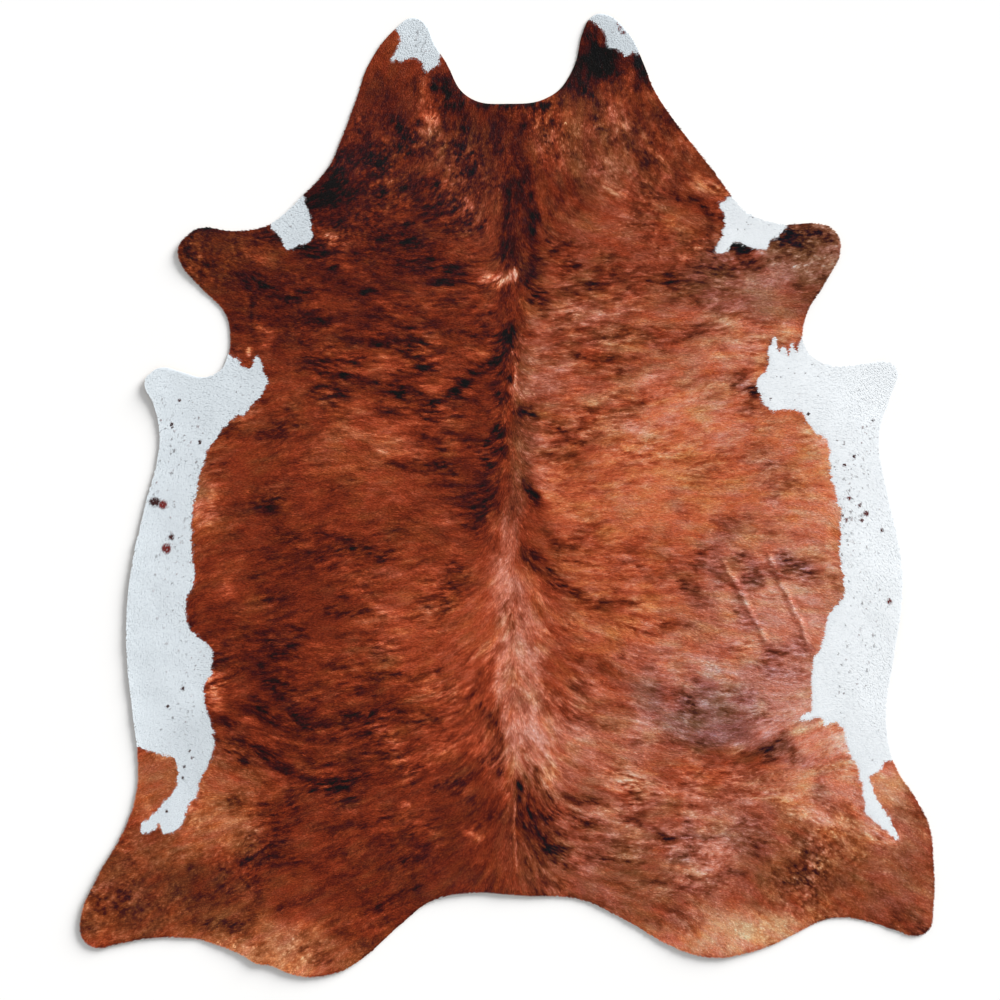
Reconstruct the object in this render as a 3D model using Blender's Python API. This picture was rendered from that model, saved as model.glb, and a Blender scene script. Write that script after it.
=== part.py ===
"""A cowhide rug: one whole tanned hide with its hair on, lying flat with the hair side up.

The neck end points along +Y, the hind legs along -Y, and the spine lies near X = 0.
The hide is one piece. Its flesh side is flat on Z = 0, and its hair side carries the
coat, which is thickest along the spine and on the neck and thinnest on the legs.
The origin is under the middle of the hide's own box.
"""

import math

import bmesh
import bpy
from mathutils import Vector

MM = 0.001

# ---- driving sizes, in millimetres ----
LENGTH = 2200.0  # neck tips to hind legs
LEATHER = 2.2  # tanned skin under the hair
COAT = 2.3  # hair lying flat on the body
SPINE_COAT = 1.4  # what the coat gains on the ridge of the back
SPINE_HALF_WIDTH = 90.0
NECK_COAT = 0.8  # what the longer hair of the neck adds
NECK_FROM, NECK_TO = 450.0, 850.0  # the neck's hair lengthens between these two Y
LEG_LOSS = 1.0  # how much thinner skin and hair are at the ends of the legs
LEG_FROM, LEG_TO = 620.0, 1150.0  # measured from the middle of the hide
EDGE_LOSS = 0.9  # the skived edge, all round
CELL = 58.0  # the hair side is laid out in cells of about this size
CURVE_STEPS = 4  # straight steps from one landmark to the next

# ---- the outline, clockwise from above, starting in the neck notch ----
# Each row is a landmark on the cut edge: its place on the hide, X and Y in millimetres.
OUTLINE = (
    # place               x      y
    ("neck notch",          3,    894),
    ("neck notch",        101,    913),
    ("neck notch",        149,    971),
    ("right neck lobe",   175,   1064),
    ("right neck lobe",   192,   1092),
    ("right neck lobe",   220,   1100),
    ("right neck lobe",   277,   1057),
    ("right neck lobe",   311,    991),
    ("right neck lobe",   335,    930),
    ("right shoulder",    370,    874),
    ("right shoulder",    472,    740),
    ("right shoulder",    516,    680),
    ("right chest bay",   541,    652),
    ("right chest bay",   628,    619),
    ("right foreleg",     703,    621),
    ("right foreleg",     745,    606),
    ("right foreleg",     762,    566),
    ("right foreleg",     729,    489),
    ("right elbow bay",   681,    404),
    ("right elbow bay",   681,    338),
    ("right elbow bay",   724,    300),
    ("right elbow bay",   774,    297),
    ("right flank tip",   822,    303),
    ("right flank tip",   868,    306),
    ("right flank tip",   890,    286),
    ("right flank tip",   876,    226),
    ("right side",        850,    139),
    ("right side",        867,     12),
    ("right side",        895,   -114),
    ("right side",        903,   -212),
    ("right side",        882,   -376),
    ("right side",        866,   -500),
    ("right stifle bay",  883,   -609),
    ("right hind leg",    941,   -705),
    ("right hind leg",    966,   -760),
    ("right hind leg",    973,   -824),
    ("right hind leg",    973,   -947),
    ("right hind leg",    963,   -993),
    ("right hind leg",    934,  -1006),
    ("right hind leg",    886,   -993),
    ("right hind leg",    824,   -974),
    ("right hind leg",    772,   -964),
    ("right hind leg",    724,   -970),
    ("right hind leg",    665,   -997),
    ("right hind leg",    605,  -1026),
    ("right hind leg",    546,  -1045),
    ("right hind leg",    473,  -1055),
    ("right hind leg",    387,  -1034),
    ("rump bay",          261,   -965),
    ("rump bay",          164,   -922),
    ("rump bay",           45,   -914),
    ("rump bay",         -108,   -909),
    ("rump bay",         -173,   -927),
    ("left hind leg",    -232,   -972),
    ("left hind leg",    -335,  -1062),
    ("left hind leg",    -381,  -1087),
    ("left hind leg",    -447,  -1099),
    ("left hind leg",    -495,  -1091),
    ("left hind leg",    -538,  -1073),
    ("left hind leg",    -570,  -1068),
    ("left hind leg",    -604,  -1049),
    ("left hind leg",    -652,  -1029),
    ("left hind leg",    -709,  -1013),
    ("left hind leg",    -814,  -1011),
    ("left hind leg",    -887,  -1024),
    ("left hind leg",    -938,  -1032),
    ("left hind leg",    -966,  -1014),
    ("left hind leg",    -973,   -974),
    ("left hind leg",    -935,   -874),
    ("left hind leg",    -873,   -764),
    ("left stifle bay",  -846,   -685),
    ("left stifle bay",  -842,   -596),
    ("left stifle bay",  -853,   -497),
    ("left side",        -867,   -344),
    ("left side",        -857,   -178),
    ("left side",        -819,     -4),
    ("left side",        -795,     89),
    ("left side",        -792,    149),
    ("left flank tip",   -806,    210),
    ("left flank tip",   -825,    254),
    ("left flank tip",   -814,    278),
    ("left flank tip",   -789,    292),
    ("left flank tip",   -741,    282),
    ("left elbow bay",   -693,    270),
    ("left elbow bay",   -655,    283),
    ("left elbow bay",   -636,    318),
    ("left elbow bay",   -631,    363),
    ("left elbow bay",   -643,    416),
    ("left foreleg",     -691,    467),
    ("left foreleg",     -744,    530),
    ("left foreleg",     -749,    564),
    ("left foreleg",     -729,    592),
    ("left foreleg",     -700,    610),
    ("left foreleg",     -634,    604),
    ("left chest bay",   -582,    606),
    ("left chest bay",   -536,    621),
    ("left chest bay",   -464,    685),
    ("left shoulder",    -406,    751),
    ("left shoulder",    -378,    813),
    ("left shoulder",    -344,    905),
    ("left neck lobe",   -316,    984),
    ("left neck lobe",   -252,   1068),
    ("left neck lobe",   -216,   1091),
    ("left neck lobe",   -188,   1079),
    ("left neck lobe",   -165,   1032),
    ("left neck lobe",   -139,    990),
    ("neck notch",        -89,    911),
)


def clear_scene():
    for old in list(bpy.data.objects):
        bpy.data.objects.remove(old, do_unlink=True)


def collection(name):
    made = bpy.data.collections.new(name)
    bpy.context.scene.collection.children.link(made)
    return made


def ease(low, high, value):
    """0 below low, 1 above high, and a smooth rise between them."""
    share = min(max((value - low) / (high - low), 0.0), 1.0)
    return share * share * (3.0 - 2.0 * share)


def thickness(x, y, on_edge):
    """Skin and coat together at a place on the hide, all in millimetres."""
    coat = COAT + SPINE_COAT * math.exp(-((x / SPINE_HALF_WIDTH) ** 2))
    coat += NECK_COAT * ease(NECK_FROM, NECK_TO, y)
    thick = LEATHER + coat - LEG_LOSS * ease(LEG_FROM, LEG_TO, math.hypot(x, y))
    return thick - EDGE_LOSS if on_edge else thick


def outline_curve(home):
    """The cut edge as one closed, smooth 2-D curve through the landmarks."""
    data = bpy.data.curves.new("outline", "CURVE")
    data.dimensions = "2D"
    data.fill_mode = "NONE"
    data.resolution_u = CURVE_STEPS
    spline = data.splines.new("BEZIER")
    spline.bezier_points.add(len(OUTLINE) - 1)
    spline.use_cyclic_u = True
    for point, (_, x, y) in zip(spline.bezier_points, OUTLINE):
        point.co = (x * MM, y * MM, 0.0)
        point.handle_left_type = point.handle_right_type = "AUTO"
    curve = bpy.data.objects.new("outline", data)
    home.objects.link(curve)
    return curve


def mesh_of(curve):
    """The curve's points and edges as a mesh of its own. The curve is removed."""
    bpy.context.view_layer.update()
    graph = bpy.context.evaluated_depsgraph_get()
    mesh = bpy.data.meshes.new_from_object(curve.evaluated_get(graph))
    data = curve.data
    bpy.data.objects.remove(curve, do_unlink=True)
    bpy.data.curves.remove(data)
    return mesh


def middle_on_origin(bm):
    """Moves the flat outline so that its box is centred, and sets its length exactly."""
    xs = [v.co.x for v in bm.verts]
    ys = [v.co.y for v in bm.verts]
    middle = Vector(((min(xs) + max(xs)) / 2, (min(ys) + max(ys)) / 2, 0.0))
    grow = LENGTH * MM / (max(ys) - min(ys))
    for v in bm.verts:
        v.co = (v.co - middle) * grow


def cut_into_cells(bm):
    """Cuts the flat hide along even lines in X and Y, so that its top can be shaped."""
    for axis in (0, 1):
        low = min(v.co[axis] for v in bm.verts)
        high = max(v.co[axis] for v in bm.verts)
        cells = max(round((high - low) / (CELL * MM)), 1)
        normal = Vector((1.0, 0.0, 0.0)) if axis == 0 else Vector((0.0, 1.0, 0.0))
        for i in range(1, cells):
            at = low + (high - low) * i / cells
            bmesh.ops.bisect_plane(
                bm,
                geom=list(bm.verts) + list(bm.edges) + list(bm.faces),
                dist=1e-6,
                plane_co=normal * at,
                plane_no=normal,
            )


def hide_object(home):
    """The hide: the outline filled, its hair side raised to the thickness at each place."""
    curve = outline_curve(home)
    mesh = mesh_of(curve)
    bm = bmesh.new()
    bm.from_mesh(mesh)
    bmesh.ops.remove_doubles(bm, verts=bm.verts, dist=1e-5)
    middle_on_origin(bm)
    bmesh.ops.contextual_create(bm, geom=list(bm.edges))
    cut_into_cells(bm)

    flesh_side = list(bm.faces)
    edge = {v for e in bm.edges if e.is_boundary for v in e.verts}
    places = [(v, v in edge) for v in bm.verts]
    raised = bmesh.ops.extrude_face_region(bm, geom=flesh_side, use_keep_orig=True)
    hair_side = [g for g in raised["geom"] if isinstance(g, bmesh.types.BMVert)]
    on_edge = {
        (round(v.co.x, 7), round(v.co.y, 7)): is_edge for v, is_edge in places
    }
    for v in hair_side:
        x, y = v.co.x, v.co.y
        v.co.z = thickness(x / MM, y / MM, on_edge[(round(x, 7), round(y, 7))]) * MM
    bmesh.ops.triangulate(bm, faces=list(bm.faces))
    bmesh.ops.recalc_face_normals(bm, faces=list(bm.faces))
    bm.to_mesh(mesh)
    bm.free()
    mesh.name = "hide"
    hide = bpy.data.objects.new("hide", mesh)
    home.objects.link(hide)
    mesh.shade_smooth()
    mesh.set_sharp_from_angle(angle=math.radians(40))
    return hide


def hair_on_leather():
    """Red-brown hair on leather."""
    material = bpy.data.materials.new("brindle_hair")
    material.use_nodes = True
    shader = material.node_tree.nodes["Principled BSDF"]
    shader.inputs["Base Color"].default_value = (0.28, 0.085, 0.03, 1.0)
    shader.inputs["Roughness"].default_value = 0.62
    shader.inputs["Metallic"].default_value = 0.0
    material.diffuse_color = (0.28, 0.085, 0.03, 1.0)
    return material


clear_scene()
parts = collection("cowhide_rug")
rug = hide_object(parts)
rug.data.materials.clear()
rug.data.materials.append(hair_on_leather())
bpy.context.view_layer.update()
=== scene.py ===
"""The looks of a cowhide rug: one tanned hide lying flat, hair side up.

A thin leather sheet carries a coat of single hairs, which lie along the hide's own hair
flow. Colour comes from the hide's regions, its brindle streaks, its white patches and
their flecks, all worked out on a plan of the hide and then given to each hair at its
root, so that patch borders are as furry as on a real hide.
"""

import math

import bpy
import numpy as np
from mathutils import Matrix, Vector, geometry


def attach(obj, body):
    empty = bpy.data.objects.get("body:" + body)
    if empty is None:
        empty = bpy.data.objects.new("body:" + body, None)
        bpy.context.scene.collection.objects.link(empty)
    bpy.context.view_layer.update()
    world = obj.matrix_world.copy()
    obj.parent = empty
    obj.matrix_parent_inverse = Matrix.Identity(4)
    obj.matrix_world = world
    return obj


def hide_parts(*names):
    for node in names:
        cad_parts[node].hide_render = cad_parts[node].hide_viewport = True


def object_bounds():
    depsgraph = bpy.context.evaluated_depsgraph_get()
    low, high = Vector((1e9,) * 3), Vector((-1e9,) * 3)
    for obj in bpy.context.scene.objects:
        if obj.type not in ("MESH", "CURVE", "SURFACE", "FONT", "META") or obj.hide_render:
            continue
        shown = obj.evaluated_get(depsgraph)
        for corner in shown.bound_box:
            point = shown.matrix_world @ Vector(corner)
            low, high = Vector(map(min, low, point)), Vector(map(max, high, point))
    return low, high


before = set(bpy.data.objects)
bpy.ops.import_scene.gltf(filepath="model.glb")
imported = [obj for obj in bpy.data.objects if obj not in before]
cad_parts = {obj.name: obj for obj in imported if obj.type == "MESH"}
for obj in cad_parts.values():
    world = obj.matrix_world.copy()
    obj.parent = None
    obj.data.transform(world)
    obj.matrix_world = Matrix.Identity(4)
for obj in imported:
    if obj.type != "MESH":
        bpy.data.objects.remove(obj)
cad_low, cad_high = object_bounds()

MM = 0.001

# ---- the plan: 1000 steps a side, u to the right, v from the neck to the hind legs ----
STEP = 2.283 * MM  # one step of the plan on the hide
SPINE_U, MIDDLE_V = 507.27, 494.75  # where the hide's own origin lies on the plan

# ---- sizes ----
LEATHER = 2.3 * MM  # tanned skin
EDGE_ROUND = 0.9 * MM  # how far the cut edge is rounded
SHEET_INSET = 0.9 * MM  # the skin ends this far inside the outline, the hair covers the rest
TOP_CELL = 9.0 * MM  # mesh size on the hair side
UNDER_CELL = 24.0 * MM  # mesh size on the flesh side
RIM_CELL = 7.5 * MM  # mesh size along the cut edge
HAIR_COUNT = 440000
HAIR_PIECES = 5
HAIR_LENGTH = 10.5 * MM
HAIR_WIDTH = 1.9 * MM
GRID = 2.0 * MM  # cell of the plan that the coat is worked out on
OVERHANG = 1.5 * MM  # how far hair tips may stand past the outline

# ---- where the spine runs ----
SPINE = (
    # v     u
    (0, 514),
    (110, 516),
    (200, 514),
    (300, 512),
    (400, 510),
    (500, 512),
    (600, 513),
    (800, 514),
    (1000, 514),
)

# ---- hair flow: degrees below the level, going outward from the spine ----
FLOW = (
    # v    at the spine  fades over  further out
    (40,   82,           300,         62),
    (150,  82,           110,         42),
    (250,  80,            22,          2),
    (350,  80,            15,         -4),
    (450,  78,            15,         -3),
    (550,  70,            32,          3),
    (650,  62,            62,          8),
    (750,  62,            66,         10),
    (830,  74,            56,         12),
    (900,  70,            64,         20),
    (960,  50,           130,         36),
)

# ---- places where the hair turns another way ----
TURNS = (
    # place                 u    v    half_u half_v  degrees below the level, outward
    ("left stifle",        235, 745,  60,    36,     -34),
    ("right stifle",       790, 748,  60,    36,     -32),
    ("right loin",         585, 655,  45,    26,      26),
    ("right rump",         655, 845,  85,    46,       2),
    ("left rump",          395, 835,  70,    44,      24),
    ("left foreleg",       215, 262,  62,    42,     -14),
    ("right foreleg",      805, 262,  62,    42,     -14),
    ("left side",          310, 560,  90,    62,      13),
    ("left shoulder",      262, 430,  60,    40,      16),
    ("left belly",         150, 560,  42,   175,      82),
    ("right belly",        886, 560,  40,   175,      82),
    ("left flank tip",     165, 400,  40,    36,      62),
    ("right flank tip",    872, 398,  40,    36,      62),
    ("left hind leg",      150, 885, 100,    62,      28),
    ("right hind leg",     880, 870, 100,    80,      35),
)

# ---- the coat by region ----
# tone: 0 black-brown, 0.5 red-brown, 1 pale tan. streak: how strong the brindle is.
# mottle: 0 drawn-out streaks, 1 short blotches. rose, gold and plum: shifts of hue.
# tone also holds painted shade and light: the left half is set darker and the right half paler, as light falls
# from the right
REGIONS = (
    # place                  u    v   half_u half_v tone  streak mottle rose gold plum
    ("left neck tip",        384,  48,  22,   28,    0.54, 0.30,  0.8,   0.0, 0.3, 0.0),
    ("left neck",            392,  88,  36,   22,    0.36, 0.45,  0.95,   0.1, 0.1, 0.0),
    ("left nape",            449,  95,  14,   18,    0.38, 0.60,  0.8,   0.2, 0.0, 0.0),
    ("left neck mottle",     430, 128,  32,   14,    0.40, 0.90,  1.0,   0.7, 0.4, 0.0),
    ("left neck shade",      372, 138,  26,   20,    0.32, 1.00,  0.95,   0.3, 0.0, 0.0),
    ("left shoulder edge",   328, 188,  24,   20,    0.22, 0.50,  0.9,   0.0, 0.0, 0.0),
    ("left shoulder",        405, 180,  34,   24,    0.37, 0.90,  0.95,   0.3, 0.3, 0.0),
    ("left withers",         474, 175,  24,   42,    0.33, 1.05,  0.85,   0.7, 0.2, 0.1),
    ("left blade",           360, 235,  50,   22,    0.29, 0.90,  0.8,   0.2, 0.1, 0.1),
    ("right neck tip",       592,  70,  20,   22,    0.12, 0.60,  0.6,   0.0, 0.0, 0.0),
    ("right neck edge",      630,  92,  18,   26,    0.36, 0.50,  0.95,   0.1, 0.4, 0.0),
    ("right nape",           545, 130,  26,   34,    0.43, 1.00,  0.85,   0.15, 0.35, 0.0),
    ("right neck",           605, 150,  34,   36,    0.52, 1.00,  0.95,   0.7, 0.45, 0.0),
    ("right shoulder",       690, 150,  30,   44,    0.52, 0.60,  0.85,   0.2, 0.45, 0.0),
    ("right blade",          630, 232,  60,   26,    0.60, 0.75,  0.8,   0.4, 0.25, 0.0),
    ("right foreleg",        815, 258,  28,   26,    0.71, 0.80,  0.9,   1.2, 0.9, 0.6),
    ("right elbow",          748, 285,  46,   24,    0.70, 0.70,  0.5,   1.2, 0.3, 0.4),
    ("left foreleg",         212, 262,  40,   26,    0.34, 0.90,  0.9,   0.3, 1.0, 0.0),
    ("left elbow",           278, 300,  44,   30,    0.29, 0.60,  0.6,   0.1, 0.3, 0.0),
    ("left ribs, front",     390, 292,  70,   28,    0.31, 0.90,  0.2,   0.1, 0.1, 0.1),
    ("left ribs",            410, 365,  70,   34,    0.43, 1.00,  0.1,   0.0, 0.2, 0.0),
    ("left flank, glow",     362, 440,  60,   26,    0.61, 0.55,  0.2,   0.15, 0.35, 0.0),
    ("left flank, front",    262, 430,  38,   46,    0.48, 0.50,  0.4,   0.15, 0.3, 0.0),
    ("left back",            474, 450,  26,   50,    0.37, 0.90,  0.1,   0.0, 0.0, 0.0),
    ("left flank",           236, 540,  38,   70,    0.50, 0.35,  0.3,   0.1, 0.3, 0.0),
    ("left edge",            203, 486,  14,   30,    0.70, 0.35,  0.4,   0.8, 1.0, 0.0),
    ("left side, shade",     292, 545,  40,   44,    0.37, 0.55,  0.3,   0.0, 0.1, 0.0),
    ("left side",            375, 530,  74,   46,    0.50, 0.60,  0.2,   0.0, 0.15, 0.0),
    ("left loin",            435, 630,  60,   40,    0.63, 0.70,  0.2,   0.1, 0.25, 0.0),
    ("left stifle",          264, 668,  46,   50,    0.35, 0.65,  0.3,   0.0, 0.1, 0.0),
    ("left haunch",          350, 745,  80,   38,    0.39, 0.95,  0.2,   0.0, 0.2, 0.1),
    ("left rump",            430, 850,  60,   40,    0.36, 0.60,  0.3,   0.0, 0.2, 0.1),
    ("left thigh",           222, 798,  40,   34,    0.70, 0.75,  0.7,   0.4, 0.8, 0.0),
    ("left hind leg",        150, 885,  70,   40,    0.40, 0.75,  0.9,   0.5, 0.9, 0.2),
    ("left knee",            148, 775,  22,   26,    0.66, 0.35,  0.6,   0.4, 0.9, 0.0),
    ("left leg, inner",      352, 925,  36,   26,    0.38, 0.50,  0.4,   0.0, 0.2, 0.0),
    ("left hind leg, edge",  275, 948,  60,   22,    0.75, 0.45,  0.8,   0.6, 1.1, 0.0),
    ("right ribs, front",    605, 292,  70,   28,    0.64, 0.80,  0.2,   0.5, 0.3, 0.0),
    ("right back",           543, 360,  22,   36,    0.76, 0.45,  0.1,   0.6, 0.2, 0.0),
    ("right ribs",           700, 355,  80,   36,    0.79, 0.70,  0.2,   0.45, 0.35, 0.0),
    ("right ribs, rear",     610, 430,  70,   34,    0.74, 0.75,  0.2,   0.3, 0.35, 0.0),
    ("right ribs, low",      690, 420,  60,   20,    0.87, 0.60,  0.2,   0.3, 0.4, 0.0),
    ("right flank, glow",    680, 500,  90,   32,    0.86, 0.35,  0.2,   0.05, 0.4, 0.0),
    ("right flank, edge",    802, 480,  36,   56,    0.90, 0.35,  0.3,   0.25, 0.4, 0.0),
    ("right side",           770, 590,  60,   44,    0.89, 0.42,  0.3,   0.8, 0.25, 0.0),
    ("right loin",           610, 605,  70,   40,    0.74, 0.65,  0.2,   0.1, 0.3, 0.0),
    ("right haunch, glow",   700, 660,  54,   16,    0.83, 0.45,  0.2,   0.6, 0.1, 0.2),
    ("right haunch, plum",   702, 708,  48,   28,    0.71, 0.55,  0.3,   1.2, 0.5, 1.0),
    ("right haunch",         600, 750,  60,   38,    0.80, 0.75,  0.2,   0.7, 0.25, 0.0),
    ("right stifle",         790, 690,  30,   46,    0.92, 0.55,  0.3,   1.1, 0.0, 0.0),
    ("right rump",           605, 855,  60,   40,    0.66, 0.95,  0.3,   0.8, 0.3, 0.1),
    ("right rump, rose",     722, 845,  38,   34,    0.81, 0.70,  0.5,   1.0, 0.1, 0.0),
    ("right thigh, glow",    822, 775,  34,   42,    0.95, 0.30,  0.8,   0.5, 0.35, 0.0),
    ("right thigh",          790, 855,  50,   34,    0.61, 1.20,  1.0,   0.5, 0.8, 0.0),
    ("right hind leg",       908, 850,  34,   60,    0.70, 0.40,  0.5,   0.7, 0.4, 0.0),
    ("right leg, inner",     897, 792,  18,   24,    0.98, 0.35,  0.5,   0.6, 0.7, 0.0),
    ("right leg, edge",      740, 932,  60,   20,    0.97, 0.50,  1.0,   0.6, 0.8, 0.0),
)

# ---- single marks: soft strokes from one place on the plan to another ----
NECK_MARKS = (
    # from u  v    to u  v   half width  tone change
    (440,     84,  450,  92,    6,        -0.36),
    (451,     99,  457, 108,    5,        -0.24),
    (456,     84,  466,  98,    5,        -0.25),
    (458,    104,  540, 105,    4,        -0.28),
    (378,     96,  384, 108,    7,        -0.14),
    (428,     80,  431, 128,    6,         0.18),
    (430,    112,  442, 117,    5,         0.26),
    (396,    122,  410, 144,   11,        -0.30),
    (446,    122,  460, 130,    6,        -0.16),
    (428,    132,  445, 150,    8,         0.08),
    (466,    118,  470, 140,    7,        -0.20),
    (486,    112,  492, 150,    6,        -0.20),
    (500,    110,  504, 150,    5,        -0.18),
    (372,    152,  392, 196,   12,        -0.13),
    (346,    165,  352, 196,   12,        -0.24),
    (312,    202,  338, 186,   11,        -0.32),
    (404,    166,  425, 178,    8,         0.09),
    (405,    187,  440, 184,    6,        -0.20),
    (444,    184,  462, 190,    6,         0.22),
    (466,    200,  486, 216,   10,         0.09),
    (474,    226,  492, 240,    8,         0.09),
    (480,    210,  486, 234,    4,        -0.16),
    (508,    160,  512, 176,    5,         0.22),
    (314,    235,  334, 234,    8,         0.26),
    (352,    212,  392, 208,   12,         0.06),
    (385,    234,  410, 228,    8,        -0.18),
    (300,    250,  335, 258,    8,        -0.34),
    (345,    232,  350, 262,    6,         0.12),
    (519,    204,  523, 262,    4,         0.16),
    (510,    168,  505, 240,    5,        -0.20),
    (519,    172,  533, 214,    4,        -0.24),
    (532,    214,  533, 262,    4,        -0.16),
    (500,    244,  506, 262,    8,        -0.16),
    (591,     50,  600,  92,   14,        -0.36),
    (564,     84,  600, 104,    9,        -0.22),
    (608,     48,  614,  72,    9,        -0.28),
    (590,     26,  590,  50,    8,        -0.30),
    (597,     37,  603,  44,    4,         0.34),
    (622,     58,  630,  76,    7,         0.12),
    (638,     56,  645,  76,    6,        -0.42),
    (608,     90,  626, 122,   10,         0.20),
    (534,    112,  541, 150,    6,         0.20),
    (560,    110,  578, 126,    9,         0.12),
    (592,    124,  612, 140,   10,        -0.10),
    (612,    126,  630, 126,    4,         0.16),
    (562,    140,  600, 150,    9,        -0.08),
    (612,    160,  635, 170,   12,         0.10),
    (610,    188,  640, 200,   10,         0.14),
    (572,    170,  580, 200,   10,        -0.08),
    (560,    215,  600, 230,   12,         0.10),
    (658,    110,  676, 130,    7,        -0.16),
    (642,    150,  644, 190,    5,        -0.14),
    (662,    140,  695, 140,    7,         0.16),
    (697,    182,  716, 186,    6,         0.30),
    (676,    196,  700, 206,  4.5,        -0.34),
    (702,    208,  712, 220,    5,        -0.28),
    (708,    228,  712, 248,    5,        -0.24),
    (660,    212,  684, 226,   12,         0.12),
    (603,    155,  612, 196,   10,         0.10),
    (613,    133,  616, 140,    5,         0.12),
    (623,    220,  638, 220,    8,         0.10),
    (556,    205,  566, 256,   14,        -0.16),
    (630,    148,  638, 162,    8,        -0.18),
    (640,    203,  666, 204,    9,        -0.12),
    (633,     64,  636,  88,    5,        -0.18),
    (405,    200,  450, 200,   10,        -0.10),
    (436,    222,  476, 224,    9,        -0.10),
    (424,    118,  426, 132,    5,        -0.22),
    (444,    140,  457, 142,    7,        -0.12),
    (389,    164,  400, 166,    7,        -0.10),
    (398,     85,  417,  86,    5,        -0.12),
    (322,    221,  338, 221,    4,        -0.12),
    (540,    106,  562, 101,    4,        -0.22),
    (518,    172,  505, 240,    2,         0.12),
    (518,    172,  534, 214,    2,         0.12),
    (505,    168,  508, 188,    5,         0.16),
    (606,     86,  607, 104,    5,         0.14),
    (652,     74,  653,  98,    4,         0.14),
    (543,    116,  546, 134,    5,         0.12),
    (654,    153,  678, 152,    6,         0.12),
    (692,    174,  718, 196,    9,         0.16),
    (718,    212,  719, 232,    3,         0.12),
    (622,    114,  638, 126,    7,        -0.14),
    (562,    198,  568, 208,    6,        -0.12),
    (612,    255,  628, 255,    6,        -0.12),
    (542,    228,  556, 248,    8,        -0.16),
    (441,     92,  444,  97,    3,         0.18),
    (572,     93,  590,  97,    6,        -0.14),
    (632,     56,  640,  64,    5,        -0.16),
    (614,    156,  624, 160,    5,        -0.14),
    (640,    198,  662, 203,    6,        -0.14),
    (436,    186,  443, 200,    6,        -0.13),
    (548,    238,  566, 250,    7,        -0.13),
    (602,    100,  610, 122,    8,         0.13),
    (644,     84,  649, 112,    5,         0.13),
    (540,    126,  545, 131,    5,         0.14),
    (544,    158,  554, 165,    8,         0.14),
    (655,    158,  660, 176,    7,         0.17),
    (690,    189,  703, 193,    5,         0.22),
    (700,    218,  715, 230,    7,         0.14),
    (684,    256,  694, 259,    6,         0.18),
    (468,    204,  477, 214,    7,         0.12),
    (470,    257,  480, 261,    6,         0.13),
    (611,    190,  625, 194,    6,         0.12),
    (366,    166,  376, 188,    9,        -0.10),
    (330,    214,  340, 236,    6,        -0.10),
    (448,     96,  452, 100,    3,         0.16),
    (500,    258,  498, 264,    5,        -0.14),
    (646,    128,  660, 142,    8,        -0.12),
    (654,    184,  664, 202,    8,        -0.14),
    (406,    126,  420, 136,    6,        -0.14),
    (384,    208,  430, 210,    8,        -0.08),
    (430,    205,  450, 212,    6,        -0.10),
    (438,    110,  442, 132,    5,         0.15),
    (495,    254,  498, 266,    4,        -0.12),
    # the row below is painted shade along the neck notch's edge
    (480,    105,  540, 105,    3,        -0.12),
    (775,    258,  800, 266,    8,        -0.10),
)
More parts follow.
